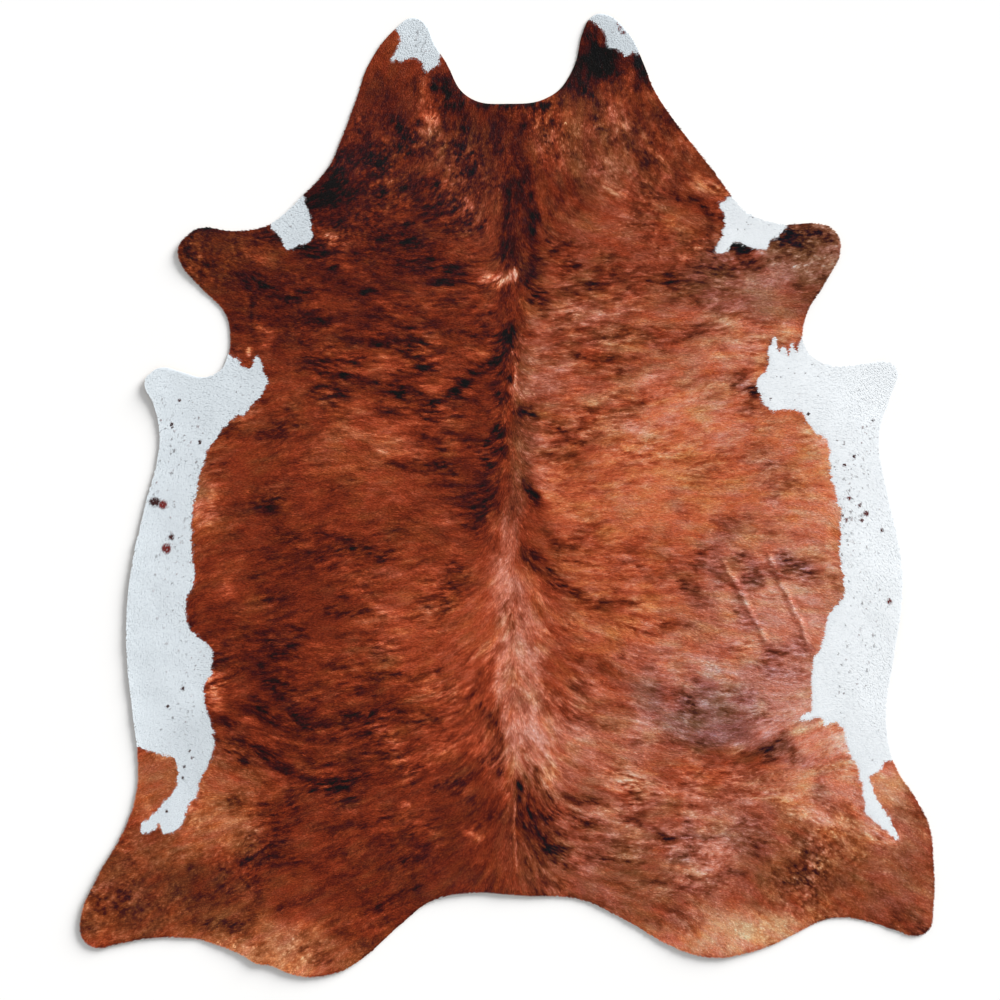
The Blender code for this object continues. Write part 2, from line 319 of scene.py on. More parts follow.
FRONT_MARKS = (
    # from u  v    to u  v   half width  tone change
    (190,    233,  222, 228,    6,        -0.20),
    (182,    244,  186, 252,    5,        -0.16),
    (256,    233,  278, 240,    8,        -0.32),
    (252,    256,  270, 262,    6,         0.22),
    (240,    276,  262, 290,    8,        -0.20),
    (262,    290,  300, 296,    7,        -0.16),
    (252,    296,  253, 342,    3,        -0.20),
    (258,    322,  268, 342,    7,         0.22),
    (226,    306,  240, 350,    8,        -0.08),
    (672,    276,  700, 288,   11,        -0.26),
    (700,    262,  734, 276,   11,        -0.24),
    (740,    252,  752, 262,   10,        -0.36),
    (728,    248,  748, 243,    6,        -0.55),
    (728,    255,  734, 262,    3,         0.30),
    (772,    240,  792, 235,    7,        -0.42),
    (784,    238,  800, 246,    9,        -0.36),
    (798,    233,  832, 233,    7,        -0.36),
    (757,    253,  768, 252,    3,         0.25),
    (765,    276,  790, 280,   12,         0.10),
    (795,    287,  820, 292,    8,        -0.24),
    (818,    274,  827, 282,    5,        -0.26),
    (690,    330,  720, 318,    6,        -0.20),
    (655,    342,  690, 336,    5,        -0.18),
    (769,    342,  771, 362,    3,        -0.26),
    (744,    372,  752, 396,    8,        -0.24),
    (762,    401,  770, 409,    4,        -0.26),
    (486,    274,  512, 276,  4.5,         0.38),
    (515,    268,  516, 281,  1.3,         0.80),
    (500,    334,  506, 339,    8,        -0.50),
    (456,    391,  470, 385,    4,        -0.26),
    (400,    395,  434, 401,    4,        -0.18),
    (432,    401,  458, 391,    4,        -0.20),
    (466,    384,  492, 364,    5,        -0.20),
    (460,    351,  490, 351,    4,         0.12),
    (528,    265,  536, 300,    6,        -0.20),
    (540,    286,  546, 312,    5,        -0.20),
    (560,    310,  600, 312,    6,         0.08),
    (590,    330,  620, 330,    5,        -0.12),
    (575,    356,  615, 353,    3,        -0.20),
    (555,    281,  600, 285,    6,        -0.16),
    (400,    241,  440, 245,    7,        -0.18),
    (400,    258,  428, 262,    6,        -0.18),
    (410,    331,  490, 338,    6,        -0.14),
    (398,    271,  450, 272,    5,        -0.12),
    (400,    364,  440, 368,    5,        -0.10),
    (344,    376,  374, 386,    4,        -0.18),
    (352,    340,  376, 344,    4,        -0.20),
    (362,    292,  386, 294,    4,        -0.26),
    (522,    405,  534, 412,    6,        -0.16),
    (708,    315,  742, 315,    8,         0.10),
    (745,    345,  762, 347,    8,         0.10),
    (603,    297,  637, 297,    9,         0.09),
    (385,    360,  396, 374,    8,         0.12),
    (420,    384,  450, 388,    6,         0.08),
    (600,    420,  760, 430,   13,         0.08),
    (220,    415,  247, 410,    8,         0.12),
    (250,    349,  251, 355,  1.8,         0.60),
    (493,    257,  503, 258,    6,        -0.12),
    (600,    277,  660, 278,    8,        -0.18),
    (524,    280,  534, 310,    7,        -0.16),
    (390,    350,  436, 350,    8,        -0.10),
    (308,    356,  326, 368,    5,        -0.14),
    (385,    420,  421, 420,    9,        -0.08),
    (528,    398,  536, 428,    9,        -0.10),
    (605,    338,  665, 332,    6,        -0.16),
    (590,    362,  665, 352,    4,        -0.12),
    (502,    348,  503, 398,    8,        -0.30),
    (517,    409,  532, 410,    5,        -0.26),
    (515,    363,  515, 385,  1.3,         0.45),
    (305,    362,  345, 378,   12,        -0.08),
    (385,    300,  430, 303,    8,         0.08),
    (486,    280,  512, 281,  4.5,         0.38),
    (386,    290,  398, 291,    7,         0.10),
    (600,    402,  735, 402,    8,         0.08),
    (788,    326,  796, 336,    5,         0.10),
    (755,    352,  762, 372,    6,         0.12),
    (822,    268,  834, 278,    6,         0.14),
    (762,    246,  788, 256,    7,         0.14),
    (320,    395,  345, 396,    6,        -0.20),
    (376,    340,  400, 341,    7,        -0.14),
    (430,    410,  450, 411,    7,        -0.12),
    (576,    300,  602, 300,    5,        -0.24),
    (546,    314,  558, 326,    6,        -0.14),
    (622,    328,  698, 326,    6,        -0.12),
    (536,    413,  553, 428,    6,        -0.22),
    (478,    378,  497, 358,    6,        -0.20),
    (521,    282,  528, 300,    6,        -0.18),
    (548,    267,  588, 269,    7,        -0.16),
    (318,    398,  340, 402,    7,        -0.20),
    (322,    412,  350, 426,   10,        -0.09),
    (604,    266,  655, 270,    9,        -0.08),
    (674,    298,  692, 301,    7,        -0.19),
    (692,    268,  720, 280,    8,        -0.10),
    (774,    251,  796, 260,    6,        -0.22),
    (315,    292,  325, 299,    6,        -0.10),
    (388,    350,  404, 352,    5,        -0.12),
    (556,    306,  574, 312,    7,        -0.14),
    (564,    322,  566, 352,    8,        -0.15),
    (592,    364,  640, 368,    8,        -0.12),
    (513,    345,  516, 362,    6,        -0.16),
    (734,    385,  746, 392,    6,        -0.22),
    (744,    412,  752, 438,    8,        -0.13),
    (396,    374,  406, 376,    6,         0.06),
    (350,    356,  360, 361,    6,         0.12),
    (586,    341,  600, 346,    6,         0.14),
    (640,    381,  664, 384,    7,         0.14),
    (420,    426,  430, 431,    6,         0.12),
    (536,    372,  552, 388,    7,         0.10),
    (498,    398,  503, 408,    5,         0.14),
    (497,    418,  501, 432,    5,        -0.14),
    (322,    368,  346, 376,    5,        -0.15),
    (372,    386,  402, 395,    4,        -0.18),
    (362,    330,  405, 333,    4,        -0.14),
    (350,    360,  385, 371,    6,         0.09),
    (470,    352,  492, 358,    5,         0.08),
    (204,    468,  222, 436,   10,        -0.10),
    (378,    292,  392, 312,    7,         0.12),
    (425,    300,  470, 302,    6,         0.10),
    (444,    375,  454, 385,    5,         0.10),
    (380,    402,  404, 402,    6,        -0.12),
    (562,    408,  582, 412,    6,        -0.16),
    (620,    374,  644, 378,    6,        -0.13),
    (612,    400,  620, 410,    6,         0.13),
    (704,    345,  724, 355,    8,         0.12),
    (780,    320,  784, 330,    5,        -0.18),
    (710,    252,  720, 260,    5,        -0.20),
    (505,    282,  512, 290,    5,         0.16),
    (533,    332,  540, 336,    5,         0.12),
    (718,    320,  745, 350,    8,         0.06),
    (280,    410,  290, 412,    6,         0.12),
    (432,    404,  445, 420,    6,        -0.10),
    (786,    330,  795, 342,    6,         0.20),
    (507,    280,  511, 290,    4,         0.12),
    (738,    388,  746, 396,    6,        -0.14),
    (700,    338,  718, 328,    5,        -0.15),
    (503,    425,  506, 450,    4,        -0.18),
    (528,    441,  532, 452,    4,         0.16),
    (312,    361,  328, 368,  2.5,        -0.11),
    (328,    372,  344, 376,  2.5,        -0.12),
    (344,    374,  360, 376,  2.3,        -0.11),
    (360,    377,  378, 385,  2.5,        -0.14),
    (378,    386,  400, 390,  2.5,        -0.14),
    (400,    391,  422, 394,  2.5,        -0.13),
    (422,    394,  440, 400,  2.4,        -0.15),
    (440,    400,  458, 395,  2.2,        -0.16),
    (459,    390,  470, 386,  2.5,        -0.15),
    (470,    384,  484, 374,  2.4,        -0.12),
    (484,    373,  497, 366,  2.2,        -0.11),
    (384,    394,  412, 398,  2.5,        -0.10),
    (412,    398,  436, 401,  2.2,        -0.10),
    (350,    339,  370, 340,  2.2,        -0.10),
    (370,    340,  388, 344,  2.5,        -0.14),
    (388,    346,  410, 349,  2.5,        -0.14),
    (410,    350,  436, 350,  2.4,        -0.11),
    (316,    387,  348, 390,  2.4,        -0.10),
    (404,    433,  424, 436,  2.2,        -0.11),
    (424,    436,  442, 441,  2.2,        -0.11),
    (430,    446,  448, 448,  2.4,        -0.12),
    (455,    440,  468, 440,  2.4,        -0.11),
    (566,    349,  576, 354,  2.4,        -0.12),
    (576,    354,  592, 361,  2.5,        -0.17),
    (592,    363,  612, 361,  2.4,        -0.13),
    (608,    360,  636, 358,  2.2,        -0.16),
    (655,    343,  672, 341,  2.5,        -0.13),
    (672,    340,  688, 337,  2.5,        -0.15),
    (688,    336,  702, 332,  2.4,        -0.17),
    (702,    332,  714, 330,    2,        -0.14),
    (603,    380,  610, 378,  2.2,        -0.15),
    (592,    414,  614, 414,    2,        -0.12),
    (624,    408,  642, 405,  2.5,        -0.12),
    (642,    403,  656, 399,  2.2,        -0.10),
    (656,    436,  680, 432,  2.2,        -0.12),
    (560,    449,  575, 455,  2.4,        -0.12),
)
SIDE_MARKS = (
    # from u  v    to u  v   half width  tone change
    (495,    426,  498, 446,    6,        -0.30),
    (486,    450,  490, 502,    8,        -0.16),
    (484,    508,  472, 530,    6,        -0.20),
    (440,    463,  450, 464,    4,        -0.20),
    (405,    458,  440, 466,    3,        -0.22),
    (521,    480,  530, 496,    6,        -0.26),
    (528,    494,  539, 507,    5,        -0.30),
    (523,    547,  545, 566,    8,        -0.28),
    (545,    566,  562, 586,    7,        -0.26),
    (584,    602,  638, 603,  2.8,        -0.24),
    (562,    560,  592, 568,    3,        -0.22),
    (592,    526,  600, 530,    4,        -0.12),
    (560,    431,  578, 442,    8,        -0.18),
    (450,    566,  462, 572,    6,        -0.20),
    (436,    591,  470, 586,    6,        -0.14),
    (430,    608,  446, 612,    4,        -0.16),
    (262,    433,  290, 426,   10,        -0.16),
    (262,    501,  276, 504,    8,        -0.24),
    (210,    498,  214, 520,    8,         0.12),
    (330,    437,  400, 437,    8,         0.10),
    (320,    530,  336, 536,    8,        -0.20),
    (330,    547,  360, 544,    6,        -0.14),
    (280,    530,  300, 540,    8,        -0.12),
    (340,    553,  370, 553,    5,        -0.16),
    (370,    553,  386, 556,    6,        -0.26),
    (375,    530,  410, 532,    6,        -0.10),
    (390,    462,  410, 470,    3,        -0.28),
    (218,    580,  224, 590,    6,         0.18),
    (330,    488,  360, 488,    3,        -0.12),
    (260,    575,  270, 600,    8,        -0.12),
    (330,    612,  368, 612,    5,        -0.24),
    (340,    598,  350, 600,    4,        -0.14),
    (191,    590,  194, 626,    5,        -0.16),
    (375,    606,  395, 614,    5,         0.16),
    (770,    470,  790, 476,    8,        -0.12),
    (775,    486,  785, 490,    6,        -0.14),
    (700,    468,  740, 468,    3,        -0.06),
    (715,    520,  735, 525,    9,        -0.16),
    (720,    536,  730, 540,    6,        -0.10),
    (645,    548,  655, 556,    6,        -0.08),
    (705,    555,  715, 580,   10,        -0.20),
    (736,    556,  744, 556,    4,        -0.26),
    (746,    578,  754, 580,    8,        -0.40),
    (734,    585,  744, 590,    6,        -0.14),
    (785,    557,  800, 562,    6,        -0.32),
    (784,    570,  815, 570,    8,        -0.18),
    (838,    580,  842, 600,    6,        -0.16),
    (680,    588,  695, 590,    5,        -0.24),
    (700,    599,  720, 600,    6,        -0.18),
    (660,    622,  690, 624,    4,        -0.22),
    (612,    410,  640, 404,    7,        -0.16),
    (820,    484,  828, 495,    5,        -0.16),
    (770,    652,  800, 644,    8,        -0.20),
    (762,    641,  775, 660,    6,        -0.16),
    (720,    648,  732, 648,    4,        -0.14),
    (632,    656,  650, 662,    7,        -0.22),
    (541,    472,  546, 503,    6,         0.10),
    (548,    514,  596, 516,    9,         0.10),
    (530,    580,  541, 600,    7,         0.10),
    (203,    450,  232, 448,    8,         0.12),
    (305,    652,  326, 652,    9,         0.10),
    (722,    600,  738, 632,   10,         0.10),
    (815,    628,  824, 646,    7,         0.12),
    (823,    440,  832, 515,    6,         0.12),
    (390,    452,  422, 452,    7,         0.10),
    (330,    486,  402, 488,   16,         0.06),
    (506,    433,  512, 457,    7,        -0.10),
    (478,    495,  488, 516,    9,        -0.10),
    (584,    484,  607, 486,    7,        -0.10),
    (435,    596,  457, 594,    8,        -0.10),
    (374,    648,  397, 648,    8,        -0.10),
    (510,    604,  524, 622,    7,        -0.14),
    (762,    572,  824, 574,   11,        -0.16),
    (676,    566,  696, 568,    8,        -0.10),
    (716,    545,  734, 562,    9,        -0.10),
    (522,    547,  532, 552,    5,        -0.16),
    (526,    560,  536, 573,    4,        -0.18),
    (500,    604,  510, 626,    6,        -0.18),
    (600,    455,  640, 457,    7,         0.08),
    (822,    500,  834, 590,    9,         0.08),
    (610,    450,  735, 450,   14,         0.07),
    (620,    478,  740, 478,   12,         0.06),
    (548,    492,  568, 494,    8,         0.10),
    (645,    560,  678, 563,    8,         0.08),
    (216,    490,  216, 520,    9,         0.12),
    (442,    475,  448, 476,    8,        -0.12),
    (486,    442,  494, 454,    5,        -0.16),
    (584,    438,  598, 440,    6,        -0.14),
    (552,    462,  578, 463,    6,        -0.14),
    (745,    460,  778, 490,   14,        -0.08),
    (285,    450,  335, 490,   16,        -0.10),
    (270,    560,  345, 572,   18,        -0.10),
    (742,    616,  758, 620,    7,        -0.14),
    (752,    458,  790, 463,    7,        -0.12),
    (626,    441,  640, 444,    5,        -0.14),
    (438,    447,  450, 449,    5,        -0.14),
    (478,    455,  488, 465,    6,        -0.13),
    (524,    490,  532, 500,    5,        -0.16),
    (544,    533,  562, 552,    6,        -0.18),
    (418,    601,  440, 607,    8,        -0.17),
    (502,    615,  513, 624,    7,        -0.14),
    (630,    450,  690, 448,    8,         0.15),
    (520,    437,  526, 452,    5,         0.12),
    (390,    502,  400, 508,    7,         0.12),
    (488,    523,  506, 530,    7,         0.10),
    (622,    548,  630, 568,    7,         0.14),
    (655,    552,  690, 560,    7,         0.11),
    (820,    574,  836, 566,    8,         0.12),
    (618,    624,  642, 627,    6,         0.17),
    (534,    632,  590, 630,    7,         0.11),
    (736,    644,  760, 646,    7,         0.19),
    (748,    594,  762, 598,    6,         0.13),
    (240,    630,  270, 627,    9,         0.10),
    (724,    584,  740, 598,    7,        -0.10),
    (736,    607,  748, 628,    9,        -0.10),
    (540,    494,  566, 508,    9,         0.10),
    (548,    420,  566, 424,    6,         0.14),
    (768,    590,  782, 604,    7,         0.10),
    (550,    436,  556, 450,    6,        -0.08),
    (804,    432,  820, 436,    7,         0.16),
    (830,    495,  837, 508,    6,         0.14),
    (630,    444,  640, 446,    4,        -0.14),
    (714,    466,  726, 472,    7,        -0.12),
    (674,    500,  686, 508,    7,        -0.14),
    (750,    520,  756, 530,    6,        -0.12),
    (632,    516,  640, 526,    7,         0.13),
    (568,    540,  580, 546,    7,         0.14),
    (644,    550,  654, 558,    6,        -0.14),
    (746,    560,  756, 570,    6,        -0.16),
    (508,    608,  514, 622,    6,        -0.12),
    (474,    600,  490, 606,    8,         0.10),
    (530,    636,  538, 642,    5,         0.14),
    (348,    636,  380, 652,    9,        -0.10),
    (396,    652,  406, 657,    5,         0.14),
    (228,    620,  242, 625,    7,        -0.10),
    (200,    506,  206, 522,    5,         0.14),
    (202,    484,  208, 490,    4,        -0.10),
    (310,    450,  322, 455,    7,        -0.12),
    (640,    536,  646, 542,    4,        -0.10),
    (604,    552,  610, 560,    5,        -0.12),
    (684,    592,  692, 602,    6,        -0.12),
    (716,    617,  734, 624,    7,        -0.12),
    (744,    634,  762, 640,    6,         0.12),
    (380,    548,  390, 553,    6,        -0.10),
    (452,    548,  462, 555,    6,         0.10),
    (590,    438,  640, 442,    5,        -0.14),
    (414,    478,  428, 474,    5,        -0.14),
    (205,    495,  225, 465,    7,        -0.10),
    (268,    492,  284, 484,    6,        -0.10),
    (817,    445,  821, 452,    5,        -0.14),
    (526,    498,  534, 508,    5,        -0.15),
    (193,    505,  197, 530,    6,         0.18),
    (562,    586,  584, 600,    5,        -0.24),
    (597,    610,  622, 610,  2.8,        -0.12),
)
REAR_MARKS = (
    # from u  v    to u  v   half width  tone change
    (262,    668,  275, 676,    9,        -0.20),
    (270,    686,  290, 690,    6,        -0.14),
    (262,    641,  290, 640,   10,        -0.12),
    (255,    705,  270, 720,    8,        -0.24),
    (208,    681,  216, 712,    7,         0.26),
    (224,    728,  262, 752,    7,        -0.20),
    (262,    752,  290, 772,    8,        -0.20),
    (225,    714,  285, 744,    4,         0.10),
    (300,    776,  315, 784,    6,        -0.18),
    (308,    788,  325, 786,    7,        -0.22),
    (325,    784,  368, 776,    6,        -0.18),
    (350,    787,  360, 790,    8,        -0.12),
    (300,    769,  320, 772,    3,         0.14),
    (345,    716,  400, 714,    4,        -0.20),
    (300,    726,  320, 730,    8,        -0.14),
    (375,    730,  400, 745,    6,         0.12),
    (268,    812,  280, 840,   12,        -0.22),
    (228,    800,  240, 806,    6,        -0.20),
    (290,    800,  300, 820,    6,        -0.14),
    (215,    816,  262, 820,   10,         0.10),
    (368,    676,  400, 676,    4,        -0.16),
    (425,    671,  440, 672,    4,        -0.22),
    (485,    713,  495, 724,    7,        -0.28),
    (430,    730,  442, 732,    4,        -0.16),
    (438,    787,  460, 780,    5,        -0.20),
    (562,    654,  590, 664,    5,        -0.10),
    (598,    668,  612, 664,    4,        -0.16),
    (590,    722,  616, 728,    4,        -0.20),
    (575,    718,  585, 720,    4,        -0.14),
    (576,    739,  596, 732,    3,         0.12),
    (662,    690,  684, 700,    8,        -0.15),
    (685,    700,  688, 716,    8,        -0.20),
    (690,    704,  700, 716,    8,        -0.10),
    (690,    738,  700, 741,   12,        -0.10),
    (662,    741,  720, 744,    4,        -0.16),
    (628,    745,  650, 740,    4,        -0.20),
    (715,    760,  728, 765,    5,        -0.12),
    (748,    762,  765, 750,    7,        -0.24),
    (765,    750,  785, 735,    7,        -0.24),
    (750,    770,  775, 757,    4,        -0.14),
    (655,    770,  670, 778,    6,        -0.12),
    (614,    811,  640, 823,    3,        -0.20),
    (636,    822,  662, 830,    3,        -0.22),
    (665,    835,  725, 836,    3,        -0.30),
    (726,    832,  745, 815,    3,        -0.20),
    (745,    830,  770, 842,   10,        -0.18),
    (784,    762,  808, 764,    7,        -0.18),
    (790,    806,  830, 822,    8,         0.18),
    (800,    730,  830, 742,   12,         0.10),
    (517,    786,  522, 776,    5,        -0.20),
    (518,    784,  520, 800,    4,        -0.30),
    (522,    790,  532, 800,    6,        -0.16),
    (532,    822,  552, 850,   10,        -0.20),
    (546,    822,  560, 814,    6,        -0.12),
    (564,    796,  606, 805,    4,        -0.24),
    (574,    819,  598, 826,    6,        -0.30),
    (560,    880,  585, 884,    5,        -0.18),
    (515,    800,  515, 872,  1.2,         0.30),
    (404,    802,  410, 807,  2.2,         0.22),
    (428,    832,  437, 834,    2,         0.20),
    (465,    830,  477, 837,  2.4,         0.20),
    (704,    888,  744, 872,    6,        -0.14),
    (652,    920,  690, 918,    8,        -0.16),
    (192,    868,  198, 876,    6,        -0.16),
    (222,    888,  230, 892,    6,        -0.18),
    (238,    858,  246, 862,    6,        -0.16),
    (255,    856,  300, 866,    9,        -0.18),
    (282,    908,  322, 892,    7,        -0.16),
    (150,    836,  180, 838,    5,        -0.12),
    (122,    826,  142, 862,    6,         0.16),
    (376,    912,  410, 888,    9,        -0.14),
    (796,    868,  806, 876,    8,        -0.20),
    (756,    850,  766, 854,    7,        -0.18),
    (834,    880,  846, 884,    8,        -0.16),
    (872,    820,  888, 836,    8,         0.22),
    (908,    808,  920, 812,    6,        -0.12),
    (900,    918,  926, 926,    7,        -0.14),
    (650,    665,  672, 670,   14,         0.10),
    (695,    668,  748, 666,    9,         0.10),
    (400,    745,  452, 742,   14,         0.08),
    (531,    712,  534, 738,    7,         0.12),
    (545,    760,  556, 776,    7,         0.14),
    (655,    780,  690, 790,   22,         0.07),
    (705,    738,  775, 742,   13,         0.08),
    (593,    812,  618, 812,    6,         0.10),
    (553,    870,  597, 871,    7,         0.10),
    (204,    676,  222, 690,    9,         0.14),
    (158,    852,  228, 848,   16,         0.10),
    (378,    815,  424, 816,   12,         0.08),
    (473,    826,  480, 856,    9,         0.10),
    (345,    690,  367, 690,    7,        -0.10),
    (230,    744,  242, 758,    8,        -0.20),
    (306,    760,  360, 762,    9,        -0.09),
    (492,    745,  504, 772,    8,        -0.12),
    (530,    862,  556, 892,    8,        -0.14),
    (572,    705,  624, 708,    9,        -0.10),
    (590,    730,  597, 736,    5,        -0.12),
    (770,    672,  801, 673,    7,        -0.12),
    (789,    750,  797, 756,    5,        -0.12),
    (756,    819,  760, 832,    5,        -0.12),
    (750,    878,  812, 884,   12,        -0.10),
    (248,    865,  256, 896,    8,        -0.12),
    (404,    807,  410, 802,    2,         0.18),
    (565,    672,  625, 700,   10,         0.08),
    (470,    834,  474, 830,    2,         0.14),
    (492,    648,  494, 682,    7,         0.12),
    (422,    695,  458, 695,    6,         0.10),
    (432,    743,  458, 743,    7,         0.08),
    (402,    764,  428, 766,    7,         0.08),
    (614,    775,  656, 790,   13,         0.12),
    (714,    726,  764, 770,   14,         0.07),
    (762,    792,  790, 792,    7,         0.12),
    (786,    710,  798, 710,    5,         0.12),
    (838,    740,  854, 798,    9,         0.12),
    (806,    822,  878, 830,    9,         0.14),
    (142,    755,  174, 756,    5,         0.14),
    (145,    794,  144, 828,    6,         0.12),
    (108,    878,  104, 940,   12,         0.10),
    (302,    968,  320, 970,    6,         0.12),
    (342,    655,  398, 657,   12,        -0.09),
    (682,    670,  698, 686,    8,        -0.12),
    (720,    740,  729, 741,    5,        -0.14),
    (472,    767,  500, 768,    7,        -0.12),
    (530,    812,  545, 816,    7,        -0.16),
    (562,    842,  598, 860,    9,        -0.22),
    (682,    846,  700, 862,    8,        -0.20),
    (742,    834,  758, 848,    8,        -0.12),
    (210,    925,  230, 926,    7,        -0.22),
    (312,    946,  334, 958,    8,        -0.22),
    (526,    880,  538, 892,    7,        -0.14),
    (402,    864,  418, 886,    8,        -0.12),
    (872,    898,  926, 912,   12,        -0.13),
    (552,    850,  574, 864,    8,        -0.16),
    (519,    832,  530, 858,  2.4,         0.14),
    (530,    858,  552, 880,  2.4,         0.14),
    (538,    820,  560, 850,  2.4,         0.12),
    (352,    669,  380, 676,    9,        -0.11),
    (296,    666,  300, 704,   12,        -0.10),
    (800,    640,  812, 652,    7,        -0.12),
    (704,    732,  740, 735,    7,        -0.14),
    (778,    738,  794, 752,    8,        -0.17),
    (817,    748,  823, 796,    7,        -0.13),
    (544,    778,  548, 792,    7,        -0.12),
    (802,    828,  811, 862,    8,        -0.15),
    (682,    812,  692, 828,    8,        -0.19),
    (668,    855,  688, 858,    6,        -0.17),
    (776,    873,  788, 894,    8,        -0.13),
    (690,    892,  700, 908,    8,        -0.10),
    (206,    678,  212, 700,    6,         0.14),
    (696,    694,  738, 697,    6,         0.13),
    (754,    712,  766, 727,    9,         0.20),
    (488,    736,  494, 752,    6,         0.18),
    (524,    745,  530, 762,    6,         0.16),
    (373,    738,  386, 743,    6,         0.16),
    (420,    752,  450, 748,    7,         0.12),
    (412,    768,  432, 764,    6,         0.10),
    (628,    786,  632, 794,    9,         0.28),
    (692,    776,  730, 775,   13,         0.18),
    (742,    756,  760, 766,    9,         0.14),
    (756,    792,  790, 794,    8,         0.18),
    (828,    727,  846, 736,    8,         0.16),
    (847,    746,  856, 770,    7,         0.12),
    (852,    803,  861, 818,    7,         0.18),
    (873,    775,  888, 770,    7,         0.16),
    (262,    926,  290, 931,    8,         0.12),
    (300,    921,  320, 928,    6,         0.10),
    (412,    827,  438, 838,   10,         0.13),
    (504,    781,  506, 800,    6,         0.16),
    (511,    815,  518, 826,    5,         0.12),
    (566,    878,  584, 881,    7,         0.14),
    (696,    864,  704, 867,    5,         0.18),
    (660,    839,  670, 845,    6,         0.14),
    (743,    945,  758, 948,    7,         0.14),
    (632,    812,  638, 836,    7,         0.13),
    (634,    716,  650, 724,   10,         0.14),
    (674,    742,  690, 744,    8,         0.12),
    (716,    714,  742, 732,   10,        -0.11),
    (762,    744,  778, 748,    6,        -0.12),
    (186,    896,  214, 904,   10,        -0.12),
    (110,    896,  140, 912,   14,        -0.07),
    (840,    896,  862, 904,   10,         0.08),
    (896,    896,  912, 904,    8,         0.08),
    (400,    676,  412, 680,    5,        -0.14),
    (462,    688,  474, 693,    6,         0.14),
    (430,    691,  452, 694,    6,         0.10),
    (522,    666,  540, 690,    5,         0.14),
    (540,    690,  556, 700,    6,         0.14),
    (590,    664,  600, 668,    5,         0.14),
    (574,    670,  584, 672,    5,        -0.12),
    (735,    668,  760, 664,    7,        -0.14),
    (764,    670,  778, 674,    6,        -0.12),
    (690,    694,  700, 700,    6,         0.12),
    (740,    700,  754, 710,    5,         0.08),
    (798,    722,  816, 728,    7,        -0.12),
    (690,    678,  704, 688,    8,        -0.08),
    (726,    696,  744, 706,    7,        -0.10),
    (760,    766,  775, 756,    4,        -0.14),
    (748,    700,  754, 708,    5,        -0.12),
    (416,    722,  430, 728,    6,         0.12),
    (452,    744,  470, 750,    8,        -0.14),
    (484,    764,  496, 770,    7,        -0.12),
    (520,    742,  528, 758,    5,         0.14),
    (504,    746,  510, 756,    4,        -0.14),
    (572,    760,  584, 770,    7,        -0.12),
    (622,    786,  640, 796,    8,         0.12),
    (816,    798,  830, 812,    7,        -0.16),
    (822,    722,  838, 730,    7,         0.20),
    (838,    752,  850, 762,    7,         0.18),
    (456,    792,  468, 798,    6,        -0.12),
    (296,    764,  306, 778,    7,         0.13),
    (290,    790,  302, 800,    6,        -0.12),
    (218,    804,  230, 811,    6,        -0.16),
    (256,    812,  266, 816,    6,         0.12),
    (234,    828,  250, 840,    8,        -0.14),
    (240,    924,  262, 950,    8,        -0.18),
    (176,    856,  184, 866,    8,         0.10),
    (206,    922,  216, 932,    6,        -0.12),
    (534,    868,  560, 884,    8,        -0.08),
    (730,    840,  740, 850,    6,        -0.12),
    (750,    842,  760, 852,    6,         0.14),
    (862,    832,  884, 842,    8,         0.12),
    (895,    852,  906, 886,    7,        -0.10),
    (670,    918,  690, 928,    7,        -0.12),
    (795,    880,  815, 905,    9,         0.10),
    (894,    792,  912, 806,    7,         0.14),
    (690,    876,  735, 872,    5,        -0.14),
    (640,    880,  690, 888,    3,        -0.16),
    (600,    858,  640, 862,    3,        -0.14),
    (606,    842,  650, 848,    3,        -0.14),
    (600,    879,  632, 885,    3,        -0.13),
    (146,    790,  150, 798,    6,        -0.14),
    (472,    832,  478, 836,    3,         0.12),
    (150,    826,  170, 828,    3,         0.12),
    (538,    772,  550, 806,   11,        -0.18),
    (516,    840,  528, 852,    8,        -0.16),
    (548,    848,  566, 876,   10,        -0.15),
    (700,    825,  722, 832,    8,         0.10),
    (700,    860,  714, 866,    7,         0.12),
    (714,    872,  728, 880,    6,         0.10),
    (618,    840,  632, 846,    6,         0.12),
    (664,    840,  678, 844,    5,         0.10),
    (256,    914,  266, 930,    7,        -0.18),
    (303,    946,  312, 958,    7,        -0.12),
    (228,    750,  238, 756,    7,        -0.14),
    (300,    812,  340, 836,   14,        -0.07),
    (100,    936,  128, 938,    5,         0.14),
    # the three rows below are painted shade along the hide's lower edge
    (862,    923,  925, 934,    4,        -0.13),
    (790,    929,  860, 920,    3,        -0.10),
    (500,    897,  580, 899,    3,        -0.10),
)

